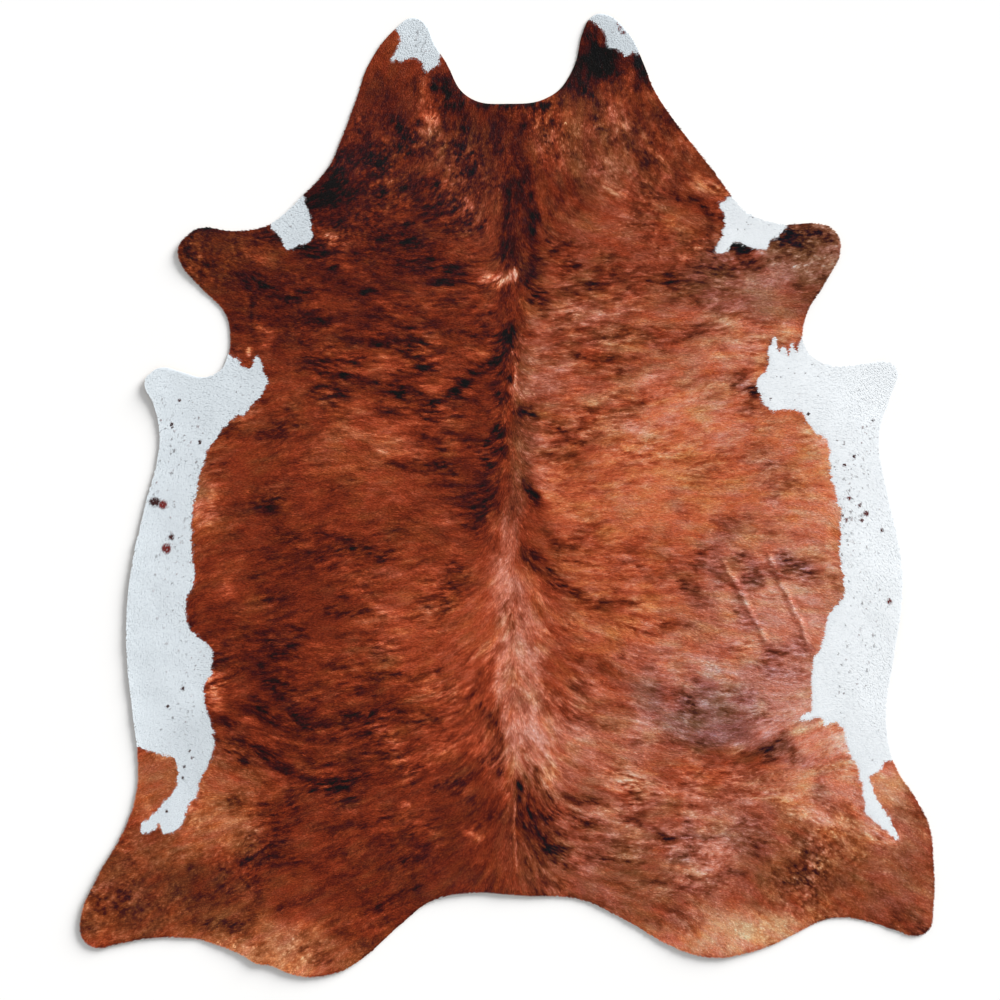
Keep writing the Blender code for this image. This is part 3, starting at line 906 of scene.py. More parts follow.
# ---- the smooth pale column that follows the back: its sides, tone and rose ----
COLUMN = (
    # v    left  right  tone  rose  strength
    (96,   500,  524,   0.22, 0.1,  0.0),
    (115,  496,  522,   0.22, 0.1,  0.6),
    (150,  496,  522,   0.20, 0.1,  0.6),
    (175,  503,  532,   0.12, 0.0,  0.7),
    (200,  502,  536,   0.06, 0.1,  0.8),
    (220,  500,  538,   0.10, 0.1,  0.8),
    (255,  500,  540,   0.18, 0.2,  0.7),
    (272,  519,  544,   0.18, 0.5,  0.8),
    (292,  494,  524,   0.31, 0.0,  0.8),
    (318,  494,  522,   0.34, 0.0,  0.8),
    (330,  503,  526,   0.22, 0.2,  0.7),
    (345,  519,  550,   0.58, 0.8,  0.7),
    (360,  519,  553,   0.67, 0.8,  0.8),
    (380,  514,  554,   0.72, 0.8,  0.8),
    (400,  514,  548,   0.60, 0.9,  0.8),
    (410,  513,  532,   0.36, 1.0,  0.7),
    (440,  512,  532,   0.52, 1.0,  0.8),
    (470,  512,  532,   0.50, 1.0,  0.8),
    (490,  508,  526,   0.46, 1.0,  0.8),
    (520,  498,  522,   0.62, 1.0,  0.8),
    (550,  496,  517,   0.72, 1.0,  0.8),
    (572,  492,  514,   0.86, 0.8,  0.8),
    (600,  492,  530,   0.82, 0.8,  0.8),
    (630,  500,  538,   0.78, 0.8,  0.8),
    (660,  494,  544,   0.87, 0.8,  0.8),
    (700,  496,  542,   0.82, 0.8,  0.8),
    (745,  502,  548,   0.84, 0.8,  0.8),
    (765,  505,  536,   0.78, 0.7,  0.8),
    (785,  508,  516,   0.56, 0.7,  0.6),
    (830,  510,  516,   0.42, 0.6,  0.5),
    (880,  506,  518,   0.40, 0.5,  0.3),
    (905,  506,  518,   0.40, 0.4,  0.0),
)

# ---- borders of the white patches, clockwise. They run past the cut edge on purpose ----
WHITE_NECK_LEFT = (
    # u    v
    (385,  14), (397,  29), (400,  40), (396,  52), (391,  60), (403,  60), (412,  58),
    (421,  61), (426,  71), (431,  68), (438,  63), (439,  54), (448,  46), (430,  10),
    (400,   0),
)
WHITE_NECK_RIGHT = (
    (575,   0), (585,  17), (602,  30), (609,  46), (619,  51), (626,  57), (636,  52),
    (660,  50), (640,   0),
)
WHITE_CHEST_LEFT = (
    (302, 190), (306, 206), (310, 220), (313, 239), (300, 245), (286, 249), (279, 236),
    (271, 226), (262, 216), (255, 195), (290, 170),
)
WHITE_CHEST_RIGHT = (
    (735, 190), (720, 205), (724, 214), (723, 232), (715, 250), (724, 252), (737, 241),
    (752, 248), (767, 248), (770, 240), (779, 236), (784, 229), (788, 220), (790, 195),
    (745, 180),
)
WHITE_SIDE_LEFT = (
    (225, 350), (232, 357), (238, 358), (242, 366), (248, 369), (253, 366), (256, 357),
    (261, 361), (264, 370), (267, 381), (261, 396), (248, 411),
    (233, 419), (214, 441), (204, 460), (197, 489), (191, 522), (192, 552), (195, 578),
    (186, 604), (190, 628), (211, 648), (211, 674), (204, 687), (207, 712), (214, 734),
    (212, 757), (206, 770), (200, 782), (197, 795), (190, 802), (186, 813), (181, 826), (174, 832),
    (162, 832), (160, 823), (156, 829), (144, 833), (141, 825), (150, 817), (162, 805), (171, 795),
    (176, 785), (178, 773), (176, 761), (170, 756), (158, 753), (139, 747), (100, 740), (100, 380), (190, 330),
)
WHITE_SIDE_RIGHT = (
    (806, 332), (801, 338), (797, 352), (792, 343), (788, 355), (783, 345), (779, 353),
    (774, 338), (768, 350), (769, 366), (757, 378),
    (760, 398), (771, 410), (797, 410), (813, 430), (826, 442), (831, 472), (840, 512),
    (840, 556), (844, 594), (829, 613), (822, 645), (812, 664), (811, 705), (811, 711), (801, 716),
    (802, 722), (812, 720), (821, 719), (825, 726), (829, 726), (832, 722), (838, 724),
    (843, 732), (846, 744), (849, 755), (855, 763), (860, 778), (863, 794), (866, 814), (885, 829), (897, 839), (894, 826),
    (877, 799), (871, 786), (870, 776), (880, 770), (884, 763), (893, 760), (905, 750),
    (930, 600), (930, 350), (830, 320),
)
WHITES = (
    WHITE_NECK_LEFT,
    WHITE_NECK_RIGHT,
    WHITE_CHEST_LEFT,
    WHITE_CHEST_RIGHT,
    WHITE_SIDE_LEFT,
    WHITE_SIDE_RIGHT,
)

# ---- the larger spots on the white ----
SPOTS = (
    # u      v      half_u half_v  red
    (155.0,  501.5, 5.6,   4.6,    0.1),
    (163.0,  504.0, 4.4,   4.2,    0.9),
    (171.5,  536.5, 2.8,   3.0,    0.2),
    (166.5,  548.0, 4.6,   5.0,    0.8),
    (183.5,  688.5, 1.8,   2.0,    0.1),
    (168.0,  706.0, 1.6,   1.6,    0.1),
    (190.0,  751.0, 1.3,   1.3,    0.2),
    (192.5,  758.0, 1.2,   1.2,    0.3),
    (184.5,  766.5, 1.5,   1.6,    0.1),
    (183.0,  778.0, 1.5,   1.7,    0.1),
    (167.0,  811.0, 1.6,   1.6,    0.1),
    (200.0,  442.0, 1.8,   2.2,    0.1),
    (172.0,  425.0, 1.5,   3.4,    0.1),
    (180.0,  400.0, 1.6,   1.4,    0.2),
    (808.0,  414.0, 1.6,   1.6,    0.2),
    (770.0,  399.0, 1.6,   1.4,    0.2),
    (873.0,  420.0, 1.5,   1.5,    0.1),
    (854.0,  456.0, 1.6,   1.6,    0.2),
    (844.0,  465.0, 1.6,   1.8,    0.3),
    (849.0,  498.0, 2.0,   2.0,    0.8),
    (860.0,  505.0, 1.8,   1.8,    0.4),
    (866.0,  513.0, 2.8,   2.6,    0.6),
    (842.0,  515.0, 1.8,   1.8,    0.4),
    (846.0,  520.0, 2.0,   2.0,    0.8),
    (862.0,  520.0, 1.8,   1.8,    0.5),
    (882.0,  530.0, 1.7,   1.7,    0.3),
    (889.0,  601.0, 2.4,   2.6,    0.8),
    (617.5,   23.0, 1.3,   2.4,    0.8),
    (619.6,   28.0, 1.8,   2.8,    0.8),
    (623.0,   32.5, 2.4,   1.9,    0.7),
)

# ---- areas of fine flecks on the white ----
FLECKS = (
    # u    v    half_u half_v count  size (steps of the plan)
    (180,  560,  22,   110,   150,   0.80),
    (196,  500,   9,    60,    60,   0.72),
    (172,  440,  22,    50,    60,   0.75),
    (235,  385,  25,    25,    26,   0.60),
    (190,  690,  18,    50,    60,   0.70),
    (850,  500,  16,   60,   150,   0.80),
    (866,  560,  16,   70,    60,   0.72),
    (800,  385,  28,    22,    40,   0.65),
    (868,  430,  16,    40,    36,   0.70),
    (848,  660,  18,    60,    60,   0.65),
    (880,  760,  12,    50,    26,   0.60),
    (419,   40,  10,   18,    42,   0.80),
    (612,   36,  10,    12,    12,   0.60),
    (295,  225,  12,    16,    12,   0.55),
    (750,  225,  20,    14,    16,   0.55),
)

# ---- creases: low ridges left by folding ----
CREASES = (
    # from u v     to u  v    half width  height (mm)
    (723, 560,     745, 600,  2.8,        2.2),
    (745, 600,     767, 640,  2.6,        2.0),
    (770, 556,     788, 596,  2.6,        1.8),
    (788, 596,     808, 640,  2.6,        2.0),
    (660, 553,     680, 570,  2.2,        1.0),
    (686, 676,     684, 728,  1.8,        1.0),
)

# ---- places where the hide doesn't quite lie down ----
LIFTS = (
    # place                u    v   half_u half_v height (mm)
    ("left flank tip",    152, 385,  34,   30,    5.0),
    ("left belly",        128, 600,  30,  120,    3.6),
    ("left hind leg",     100, 910,  50,   40,    5.0),
    ("left leg, edge",    270, 965,  60,   24,    3.6),
    ("rump",              500, 890,  60,   18,    2.6),
    ("right leg, edge",   720, 950,  60,   22,    3.8),
    ("right hind leg",    925, 900,  30,   50,    3.6),
    ("left foreleg",      185, 250,  30,   26,    4.6),
    ("left neck tip",     395,  40,  24,   26,    4.0),
    ("left shoulder",     330, 190,  30,   30,    3.4),
    ("right neck tip",    600,  30,  24,   22,    3.4),
    ("neck notch",        500, 104,  50,   14,    3.0),
    ("right flank tip",   895, 372,  24,   24,    3.6),
    ("right foreleg",     838, 250,  20,   24,    3.2),
    ("right belly",       895, 600,  22,   90,    2.4),
)


# ---------------------------------------------------------------- the plan as a grid
LOW = np.array((cad_low.x - 0.02, cad_low.y - 0.02))
HIGH = np.array((cad_high.x + 0.02, cad_high.y + 0.02))
COLS = int(round((HIGH[0] - LOW[0]) / GRID)) + 1
ROWS = int(round((HIGH[1] - LOW[1]) / GRID)) + 1
XS = (LOW[0] + GRID * np.arange(COLS)).astype(np.float32)
YS = (LOW[1] + GRID * np.arange(ROWS)).astype(np.float32)
GX, GY = np.meshgrid(XS, YS)
GU = GX / STEP + SPINE_U
GV = MIDDLE_V - GY / STEP


def metres(u, v):
    """A place on the plan, in the hide's own frame."""
    return (u - SPINE_U) * STEP, (MIDDLE_V - v) * STEP


def at(field, x, y):
    """A grid's value at any places, read between its cells."""
    c = np.clip((x - LOW[0]) / GRID, 0, COLS - 1.001)
    r = np.clip((y - LOW[1]) / GRID, 0, ROWS - 1.001)
    i, j = r.astype(np.int32), c.astype(np.int32)
    a, b = (r - i).astype(np.float32), (c - j).astype(np.float32)
    top = field[i, j] * (1 - b) + field[i, j + 1] * b
    low = field[i + 1, j] * (1 - b) + field[i + 1, j + 1] * b
    return top * (1 - a) + low * a


def ease(low, high, value):
    share = np.clip((value - low) / (high - low), 0.0, 1.0)
    return share * share * (3.0 - 2.0 * share)


def spread(cells, cell, size):
    """Weights that blend coarse samples into a line of cells, smoothly."""
    place = np.arange(cells) * cell / size + 1.5
    base = np.floor(place).astype(int)
    t = place - base
    weights = np.zeros((cells, int(place[-1]) + 4))
    rows = np.arange(cells)
    weights[rows, base - 1] = (1 - t) ** 3 / 6
    weights[rows, base] = (3 * t**3 - 6 * t**2 + 4) / 6
    weights[rows, base + 1] = (-3 * t**3 + 3 * t**2 + 3 * t + 1) / 6
    weights[rows, base + 2] = t**3 / 6
    return weights


def noise(size, seed):
    """Soft random bumps about twice size across, with mean 0 and spread 1."""
    down, over = spread(ROWS, GRID, size), spread(COLS, GRID, size)
    random = np.random.default_rng(seed).standard_normal((down.shape[1], over.shape[1]))
    field = (down @ random @ over.T).astype(np.float32)
    return field / field.std()


def drag(field, flow, reach, stride=2.0):
    """Softens a grid along the hair flow only, over about reach either way."""
    fx, fy = flow
    total, weight = field.copy(), 1.0
    steps = max(int(reach / (stride * GRID)), 1)
    for sign in (1.0, -1.0):
        c, r = np.meshgrid(
            np.arange(COLS, dtype=np.float32), np.arange(ROWS, dtype=np.float32)
        )
        for k in range(1, steps + 1):
            i = np.clip(r + 0.5, 0, ROWS - 1).astype(np.int32)
            j = np.clip(c + 0.5, 0, COLS - 1).astype(np.int32)
            c += sign * stride * fx[i, j]
            r += sign * stride * fy[i, j]
            i = np.clip(r + 0.5, 0, ROWS - 1).astype(np.int32)
            j = np.clip(c + 0.5, 0, COLS - 1).astype(np.int32)
            w = 0.5 + 0.5 * math.cos(math.pi * k / (steps + 1))
            total += w * field[i, j]
            weight += w
    return total / weight


def smear(field, flow, reach, stride=2.0):
    """Streaks about twice reach long along the hair flow, with mean 0 and spread 1."""
    total = drag(field, flow, reach, stride)
    return (total - total.mean()) / total.std()


# ---------------------------------------------------------------- outlines on the grid
def rounded(points, every):
    """A smooth closed line through landmarks, with a point about every so far."""
    p = np.asarray(points, float)
    before, after, far = np.roll(p, 1, 0), np.roll(p, -1, 0), np.roll(p, -2, 0)
    line = []
    for a, b, c, d in zip(before, p, after, far):
        count = max(int(math.ceil(np.hypot(*(c - b)) / every)), 1)
        t = (np.arange(count) / count)[:, None]
        line.append(
            0.5
            * (
                2 * b
                + (c - a) * t
                + (2 * a - 5 * b + 4 * c - d) * t**2
                + (3 * b - a - 3 * c + d) * t**3
            )
        )
    return np.concatenate(line)


def inside(line):
    """Which cells lie inside a closed line."""
    x0, y0 = line[:, 0], line[:, 1]
    x1, y1 = np.roll(x0, -1), np.roll(y0, -1)
    result = np.zeros((ROWS, COLS), bool)
    for row, y in enumerate(YS):
        hit = (y0 <= y) != (y1 <= y)
        if not hit.any():
            continue
        cross = np.sort(x0[hit] + (y - y0[hit]) / (y1[hit] - y0[hit]) * (x1[hit] - x0[hit]))
        result[row] = np.searchsorted(cross, XS) % 2 == 1
    return result


def depth(line, reach=0.05):
    """How far inside a closed line each cell is, in metres, up to reach either way."""
    ring = np.concatenate([line, line[:1]])
    gap = np.full((ROWS, COLS), reach, np.float32)
    pad = int(reach / GRID) + 1
    for (ax, ay), (bx, by) in zip(ring[:-1], ring[1:]):
        j0 = max(int((min(ax, bx) - LOW[0]) / GRID) - pad, 0)
        j1 = min(int((max(ax, bx) - LOW[0]) / GRID) + pad + 2, COLS)
        i0 = max(int((min(ay, by) - LOW[1]) / GRID) - pad, 0)
        i1 = min(int((max(ay, by) - LOW[1]) / GRID) + pad + 2, ROWS)
        if j0 >= j1 or i0 >= i1:
            continue
        gap_here = to_stroke(GX[i0:i1, j0:j1], GY[i0:i1, j0:j1], ax, ay, bx, by)
        np.minimum(gap[i0:i1, j0:j1], gap_here, out=gap[i0:i1, j0:j1])
    return np.where(inside(line), gap, -gap)


def to_stroke(x, y, ax, ay, bx, by):
    """Distance from places to a straight stroke."""
    dx, dy = bx - ax, by - ay
    share = ((x - ax) * dx + (y - ay) * dy) / max(dx * dx + dy * dy, 1e-12)
    share = np.clip(share, 0.0, 1.0)
    return np.hypot(x - ax - share * dx, y - ay - share * dy)


def cut_edge(node):
    """The hide's outline, in order, read from the flat underside of its CAD solid."""
    mesh = node.data
    key = {}
    number = []
    places = []
    for v in mesh.vertices:
        k = (round(v.co.x, 6), round(v.co.y, 6), round(v.co.z, 6))
        if k not in key:
            key[k] = len(places)
            places.append(v.co.copy())
        number.append(key[k])
    seen = {}
    for face in mesh.polygons:
        ids = [number[i] for i in face.vertices]
        if max(places[i].z for i in ids) > 1e-5:
            continue
        for a, b in zip(ids, ids[1:] + ids[:1]):
            seen[(a, b)] = True
    after = {a: b for a, b in seen if (b, a) not in seen}
    start = at_now = next(iter(after))
    ring = []
    while True:
        ring.append((places[at_now].x, places[at_now].y))
        at_now = after[at_now]
        if at_now == start:
            break
    ring = np.array(ring)
    area = (ring[:, 0] * np.roll(ring[:, 1], -1) - np.roll(ring[:, 0], -1) * ring[:, 1]).sum()
    return ring[::-1] if area < 0 else ring


EDGE = rounded(cut_edge(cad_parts["hide"]), 0.004)
DEEP = depth(EDGE)

# ---------------------------------------------------------------- hair flow
spine_u = np.interp(GV, *np.array(SPINE, float).T).astype(np.float32)
OUT = GU - spine_u
SIDE = np.where(OUT < 0, -1.0, 1.0).astype(np.float32)
AWAY = np.abs(OUT)
flow_v, flow_near, flow_fade, flow_far = np.array(FLOW, float).T
near = np.interp(GV, flow_v, flow_near)
fade = np.interp(GV, flow_v, flow_fade)
far = np.interp(GV, flow_v, flow_far)
slope = far + (near - far) * np.exp(-((AWAY / fade) ** 2))
weight = np.ones_like(slope)
level = slope.copy()
for _, u, v, half_u, half_v, degrees in TURNS:
    share = 3.0 * np.exp(-(((GU - u) / half_u) ** 2 + ((GV - v) / half_v) ** 2) ** 1.5)
    level += share * degrees
    weight += share
slope = level / weight
slope += 4.0 * noise(0.05, 11) + 3.5 * noise(0.016, 12)
slope = np.radians(slope).astype(np.float32)
FLOW_X = (SIDE * np.cos(slope)).astype(np.float32)
FLOW_Y = (-np.sin(slope)).astype(np.float32)
parting = ease(0.0, 5.0, AWAY)  # hair on the spine itself points straight back
FLOW_X *= parting
length = np.hypot(FLOW_X, FLOW_Y)
FLOW_X /= length
FLOW_Y /= length
flow = (FLOW_X, FLOW_Y)

# ---------------------------------------------------------------- the coat's colours
regions = np.array([row[1:] for row in REGIONS], float)
usual = np.array((0.50, 0.60, 0.3, 0.1, 0.05, 0.0))
weight = np.full((ROWS, COLS), 0.10, np.float32)
mixed = [np.full((ROWS, COLS), 0.10 * value, np.float32) for value in usual]
shift_u, shift_v = 10.0 * noise(0.05, 21), 8.0 * noise(0.05, 22)
for row in regions:
    u, v, half_u, half_v = row[:4]
    share = np.exp(
        -(((GU + shift_u - u) / half_u) ** 2 + ((GV + shift_v - v) / half_v) ** 2)
    ).astype(np.float32)
    weight += share
    for field, value in zip(mixed, row[4:]):
        field += share * np.float32(value)
tone, streak, mottle, rose, gold, plum = [field / weight for field in mixed]
by_spine = np.exp(-((AWAY / 22.0) ** 2)) * ease(230.0, 300.0, GV) * ease(600.0, 520.0, GV)
mottle += by_spine * (0.9 - mottle)  # beside the spine the brindle breaks into blots
streak *= 1.0 - 0.25 * by_spine

marks = np.zeros((ROWS, COLS), np.float32)
ticks = np.zeros((ROWS, COLS), np.float32)
wander_u = 3.0 * noise(0.030, 31) + 1.6 * noise(0.010, 36) + 1.1 * noise(0.005, 38)
wander_v = 2.4 * noise(0.030, 32) + 1.2 * noise(0.010, 37) + 0.8 * noise(0.005, 39)
for group in (NECK_MARKS, FRONT_MARKS, SIDE_MARKS, REAR_MARKS):
    for u0, v0, u1, v1, half, change in group:
        pad = 3.0 * half + 8.0
        rows = slice(
            *np.searchsorted(-GV[:, 0], (-max(v0, v1) - pad, -min(v0, v1) + pad))
        )
        cols = slice(*np.searchsorted(GU[0], (min(u0, u1) - pad, max(u0, u1) + pad)))
        loose = min(half / 7.0, 1.0)  # small marks stay where they are
        gap = to_stroke(
            GU[rows, cols] + loose * wander_u[rows, cols],
            GV[rows, cols] + loose * wander_v[rows, cols],
            u0, v0, u1, v1,
        )
        kind = marks if half > 2.5 else ticks
        kind[rows, cols] += change * np.exp(-((gap / half) ** 2))

thin = smear(noise(0.0020, 41), flow, 0.011)
band = smear(noise(0.0042, 42), flow, 0.024)
broad = smear(noise(0.0100, 43), flow, 0.046)
wide = smear(noise(0.0230, 48), flow, 0.070)
blotch = 0.45 * smear(noise(0.0060, 44), flow, 0.008) + 0.9 * noise(0.0028, 45)
blotch += 0.40 * noise(0.0120, 49) + 0.45 * noise(0.0240, 50) * ease(300.0, 220.0, GV)
patchy = np.clip(1.0 + 0.35 * noise(0.045, 46), 0.3, 1.8)
drawn = 0.52 * band + 0.38 * thin + 0.44 * broad + 0.30 * wide
brindle = 0.145 * drawn - 0.06 * ease(0.4, 2.0, -drawn)
spots = 0.115 * blotch - 0.03 * ease(0.3, 1.6, -blotch)
texture = brindle * (1 - mottle) + spots * mottle
tone += streak * patchy * texture

# the column on the back: combed straight back, so it shows no brindle of its own
column_v, column_left, column_right, column_tone, column_rose, column_strong = np.array(
    COLUMN, float
).T
sway = 2.0 * noise(0.030, 33) + 1.0 * noise(0.008, 34)
left_side = np.interp(GV, column_v, column_left)
right_side = np.interp(GV, column_v, column_right)
on_column = ease(-6.0, 6.0, GU + sway - left_side) * ease(-8.0, 9.0, right_side - GU - sway)
on_column *= np.interp(GV, column_v, column_strong, left=0.0, right=0.0)
combed = 0.055 * drawn + 0.055 * blotch
tone += on_column * (np.interp(GV, column_v, column_tone) + combed - tone)
rose += on_column * (np.interp(GV, column_v, column_rose) - rose)
gold += on_column * (0.05 - gold)

marks = drag(marks, flow, 0.010)
lively = 0.86 + 0.42 * np.clip(0.9 * thin + 0.4 * band, -1.8, 1.2) * np.sign(marks)
tone += marks * lively * (1 - 0.5 * on_column)
tone += ticks
tone += 0.022 * noise(0.0021, 47)
hue_drift = smear(noise(0.0060, 54), flow, 0.030)
gold_drift = smear(noise(0.0085, 55), flow, 0.040)
rose += 0.12 * hue_drift + 0.10 * noise(0.020, 56)
gold += 0.16 * gold_drift + 0.14 * noise(0.024, 57)
plum += 2.2 * np.maximum(-marks, 0.0) * ease(560.0, 720.0, GU) * ease(250.0, 420.0, GV)
for field in (rose, gold, plum):
    np.clip(field, 0.0, 1.2, out=field)
tone = (tone - 0.55 * np.maximum(tone - 0.86, 0.0)).astype(np.float32)

edge_x = -np.gradient(DEEP, GRID, axis=1)
edge_shade = ease(-0.5, 0.1, edge_x) * np.exp(-np.maximum(DEEP, 0.0) / (4.5 * MM))
tone -= (0.12 * edge_shade).astype(np.float32)  # painted shade: the coat is darker near the cut edge, except where the edge faces left

white = np.full((ROWS, COLS), -0.05, np.float32)
for border in WHITES:
    line = rounded([metres(u, v) for u, v in border], 0.006)
    np.maximum(white, depth(line), out=white)
rag = 1.5 * MM * noise(0.0065, 51) + 0.9 * MM * noise(0.0030, 52)
white += rag
lit_white = ease(SPINE_U - 150, SPINE_U + 150, GU) * ease(40.0, 260.0, GV)  # painted shade and light: 0 where the white is set grey as if shaded, on the left, 1 where it is set bright as if lit, on the right

# ---------------------------------------------------------------- the lie of the sheet
rise = np.zeros((ROWS, COLS), np.float32)
for _, u, v, half_u, half_v, height in LIFTS:
    rise += (
        height
        * MM
        * np.exp(-(((GU - u) / half_u) ** 2 + ((GV - v) / half_v) ** 2))
    ).astype(np.float32)
rise += 1.1 * MM * np.maximum(noise(0.11, 61), 0.0) + 0.35 * MM * (1 + noise(0.035, 62))
shaded = ease(0.0, -0.6, (GX * 0.74 + GY * 0.67))  # the side away from the light
rise += 3.2 * MM * shaded * np.exp(-np.maximum(DEEP, 0.0) / 0.022)
rise = np.maximum(rise, 0.0)
crease = np.zeros((ROWS, COLS), np.float32)
crease_highlight = np.zeros((ROWS, COLS), np.float32)
for u0, v0, u1, v1, half, height in CREASES:
    gap = to_stroke(GU + 0.3 * wander_u, GV + 0.3 * wander_v, u0, v0, u1, v1)
    np.maximum(crease, height * MM * np.exp(-((gap / half) ** 2)), out=crease)
    np.maximum(crease_highlight, 0.055 * height * np.exp(-((gap / (0.7 * half)) ** 2)), out=crease_highlight)
    # painted shade: a darker line beside each crease, on its side away from the light
    below = to_stroke(GU + 0.3 * wander_u + 4.5, GV + 0.3 * wander_v, u0, v0, u1, v1)
    tone -= (0.050 * height * np.exp(-((below / 2.8) ** 2))).astype(np.float32)
tone += crease_highlight  # painted highlight: the coat is paler along a crease's crest, as on its lit side
ridge = 0.8 * MM * np.exp(-((AWAY / 16.0) ** 2))
UNDER = rise.astype(np.float32)
SKIN = (rise + LEATHER + crease + ridge).astype(np.float32)


# ---------------------------------------------------------------- the leather sheet
def ring_at(inset):
    """The cut edge moved inwards, with evenly spaced points round it."""
    closed = np.concatenate([EDGE, EDGE[:1]])
    run = np.concatenate([[0.0], np.hypot(*np.diff(closed, axis=0).T).cumsum()])
    count = int(run[-1] / RIM_CELL)
    where = np.arange(count) * run[-1] / count
    x = np.interp(where, run, closed[:, 0])
    y = np.interp(where, run, closed[:, 1])
    p = np.stack([x, y], 1)
    along = np.roll(p, -1, 0) - np.roll(p, 1, 0)
    along /= np.hypot(along[:, 0], along[:, 1])[:, None]
    return p + inset * np.stack([-along[:, 1], along[:, 0]], 1)


def filled(rim, cell, margin):
    """Triangles that fill a closed rim, on an even lattice. The rim's points come first."""
    xs = np.arange(LOW[0], HIGH[0], cell)
    ys = np.arange(LOW[1], HIGH[1], cell * math.sqrt(0.75))
    x, y = np.meshgrid(xs, ys)
    x = x + (np.arange(len(ys)) % 2)[:, None] * cell / 2
    keep = at(DEEP, x, y) > margin
    points = np.concatenate([rim, np.stack([x[keep], y[keep]], 1)])
    count = len(rim)
    edges = [(i, (i + 1) % count) for i in range(count)]
    verts, _, faces, source, _, _ = geometry.delaunay_2d_cdt(
        [Vector(p) for p in points.tolist()], edges, [], 1, 1e-7
    )
    order = [s[0] if s else -1 for s in source]
    if sorted(order) != list(range(len(points))):
        raise RuntimeError("the sheet's points were merged")
    place = np.zeros((len(points), 2))
    place[order] = np.array([v[:] for v in verts])
    return place, np.array(order)[np.array([f[:] for f in faces])]


def sheet_mesh():
    rim_under = ring_at(SHEET_INSET + EDGE_ROUND)
    rim_wide = ring_at(SHEET_INSET)
    rim_top = ring_at(SHEET_INSET + EDGE_ROUND)
    top, top_faces = filled(rim_top, TOP_CELL, 7.5 * MM)
    low, low_faces = filled(rim_under, UNDER_CELL, 15.0 * MM)
    n = len(rim_top)

    def level_of(points, field):
        return at(field, points[:, 0], points[:, 1]).astype(float)

    z_top = level_of(top, SKIN)
    z_top[:n] -= 0.1 * MM
    z_low = level_of(low, UNDER)
    wide_low = level_of(rim_wide, UNDER) + 0.5 * MM
    wide_high = level_of(rim_wide, SKIN) - 0.6 * MM
    co = np.concatenate(
        [
            np.column_stack([top, z_top]),
            np.column_stack([low, z_low]),
            np.column_stack([rim_wide, wide_high]),
            np.column_stack([rim_wide, wide_low]),
        ]
    )
    low_start = len(top)
    high_start = low_start + len(low)
    deep_start = high_start + n
    i = np.arange(n)
    k = (i + 1) % n

    def band_faces(a, b):
        """Two triangles between neighbours of an upper row a and a lower row b."""
        return np.concatenate(
            [
                np.column_stack([a + i, b + i, b + k]),
                np.column_stack([a + i, b + k, a + k]),
            ]
        )

    walls = np.concatenate(
        [
            band_faces(0, high_start),
            band_faces(high_start, deep_start),
            band_faces(deep_start, low_start),
        ]
    )
    faces = np.concatenate([top_faces, low_faces[:, ::-1] + low_start, walls])
    slots = np.concatenate(
        [
            np.zeros(len(top_faces), int),
            np.ones(len(low_faces), int),
            np.zeros(2 * n, int),
            np.ones(4 * n, int),
        ]
    )
    return co, faces, slots


def new_mesh(name, co, faces, slots=None, smooth=True):
    mesh = bpy.data.meshes.new(name)
    mesh.vertices.add(len(co))
    mesh.vertices.foreach_set("co", np.asarray(co, np.float32).ravel())
    mesh.loops.add(faces.size)
    mesh.loops.foreach_set("vertex_index", faces.astype(np.int32).ravel())
    mesh.polygons.add(len(faces))
    mesh.polygons.foreach_set(
        "loop_start", np.arange(0, faces.size, faces.shape[1], dtype=np.int32)
    )
    mesh.polygons.foreach_set(
        "loop_total", np.full(len(faces), faces.shape[1], np.int32)
    )
    if slots is not None:
        mesh.polygons.foreach_set("material_index", slots.astype(np.int32))
    mesh.polygons.foreach_set("use_smooth", np.full(len(faces), smooth))
    mesh.update(calc_edges=True)
    mesh.validate()
    return mesh


def give(mesh, name, values):
    attribute = mesh.attributes.new(name, "FLOAT", "POINT")
    attribute.data.foreach_set("value", np.asarray(values, np.float32).ravel())


def give_vector(mesh, name, values):
    attribute = mesh.attributes.new(name, "FLOAT_VECTOR", "POINT")
    attribute.data.foreach_set("vector", np.asarray(values, np.float32).ravel())


def map_flat(mesh, co, faces, low, high, left=0.0, right=1.0):
    """A flat map of the piece, seen from above, for baking."""
    span = np.maximum(high - low, 1e-6)
    flat = (co[:, :2] - low) / span
    flat[:, 0] = left + flat[:, 0] * (right - left)
    return flat[faces.ravel()]


def add_map(mesh, uv):
    layer = mesh.uv_layers.new(name="OFBake")
    layer.data.foreach_set("uv", np.clip(uv, 0.0, 1.0).astype(np.float32).ravel())


def coat_fields(mesh, x, y, shade=0.0):
    """The coat's fields at a mesh's points."""
    give(mesh, "tone", at(tone, x, y) + shade)
    give(mesh, "white", ease(-1.0 * MM, 1.0 * MM, at(white, x, y)))
    give(mesh, "lit_white", at(lit_white, x, y))
    give_vector(
        mesh, "hue", np.column_stack([at(rose, x, y), at(gold, x, y), at(plum, x, y)])
    )


co, faces, slots = sheet_mesh()
sheet_data = new_mesh("hide_sheet", co, faces, slots)
coat_fields(sheet_data, co[:, 0], co[:, 1])
uv_top = map_flat(sheet_data, co, faces, LOW, HIGH, 0.0, 0.5).reshape(len(faces), 3, 2)
uv_low = map_flat(sheet_data, co, faces, LOW, HIGH, 0.5, 1.0).reshape(len(faces), 3, 2)
add_map(sheet_data, np.where(slots[:, None, None] == 0, uv_top, uv_low))
hide_sheet = bpy.data.objects.new("hide_sheet", sheet_data)
bpy.context.scene.collection.objects.link(hide_sheet)

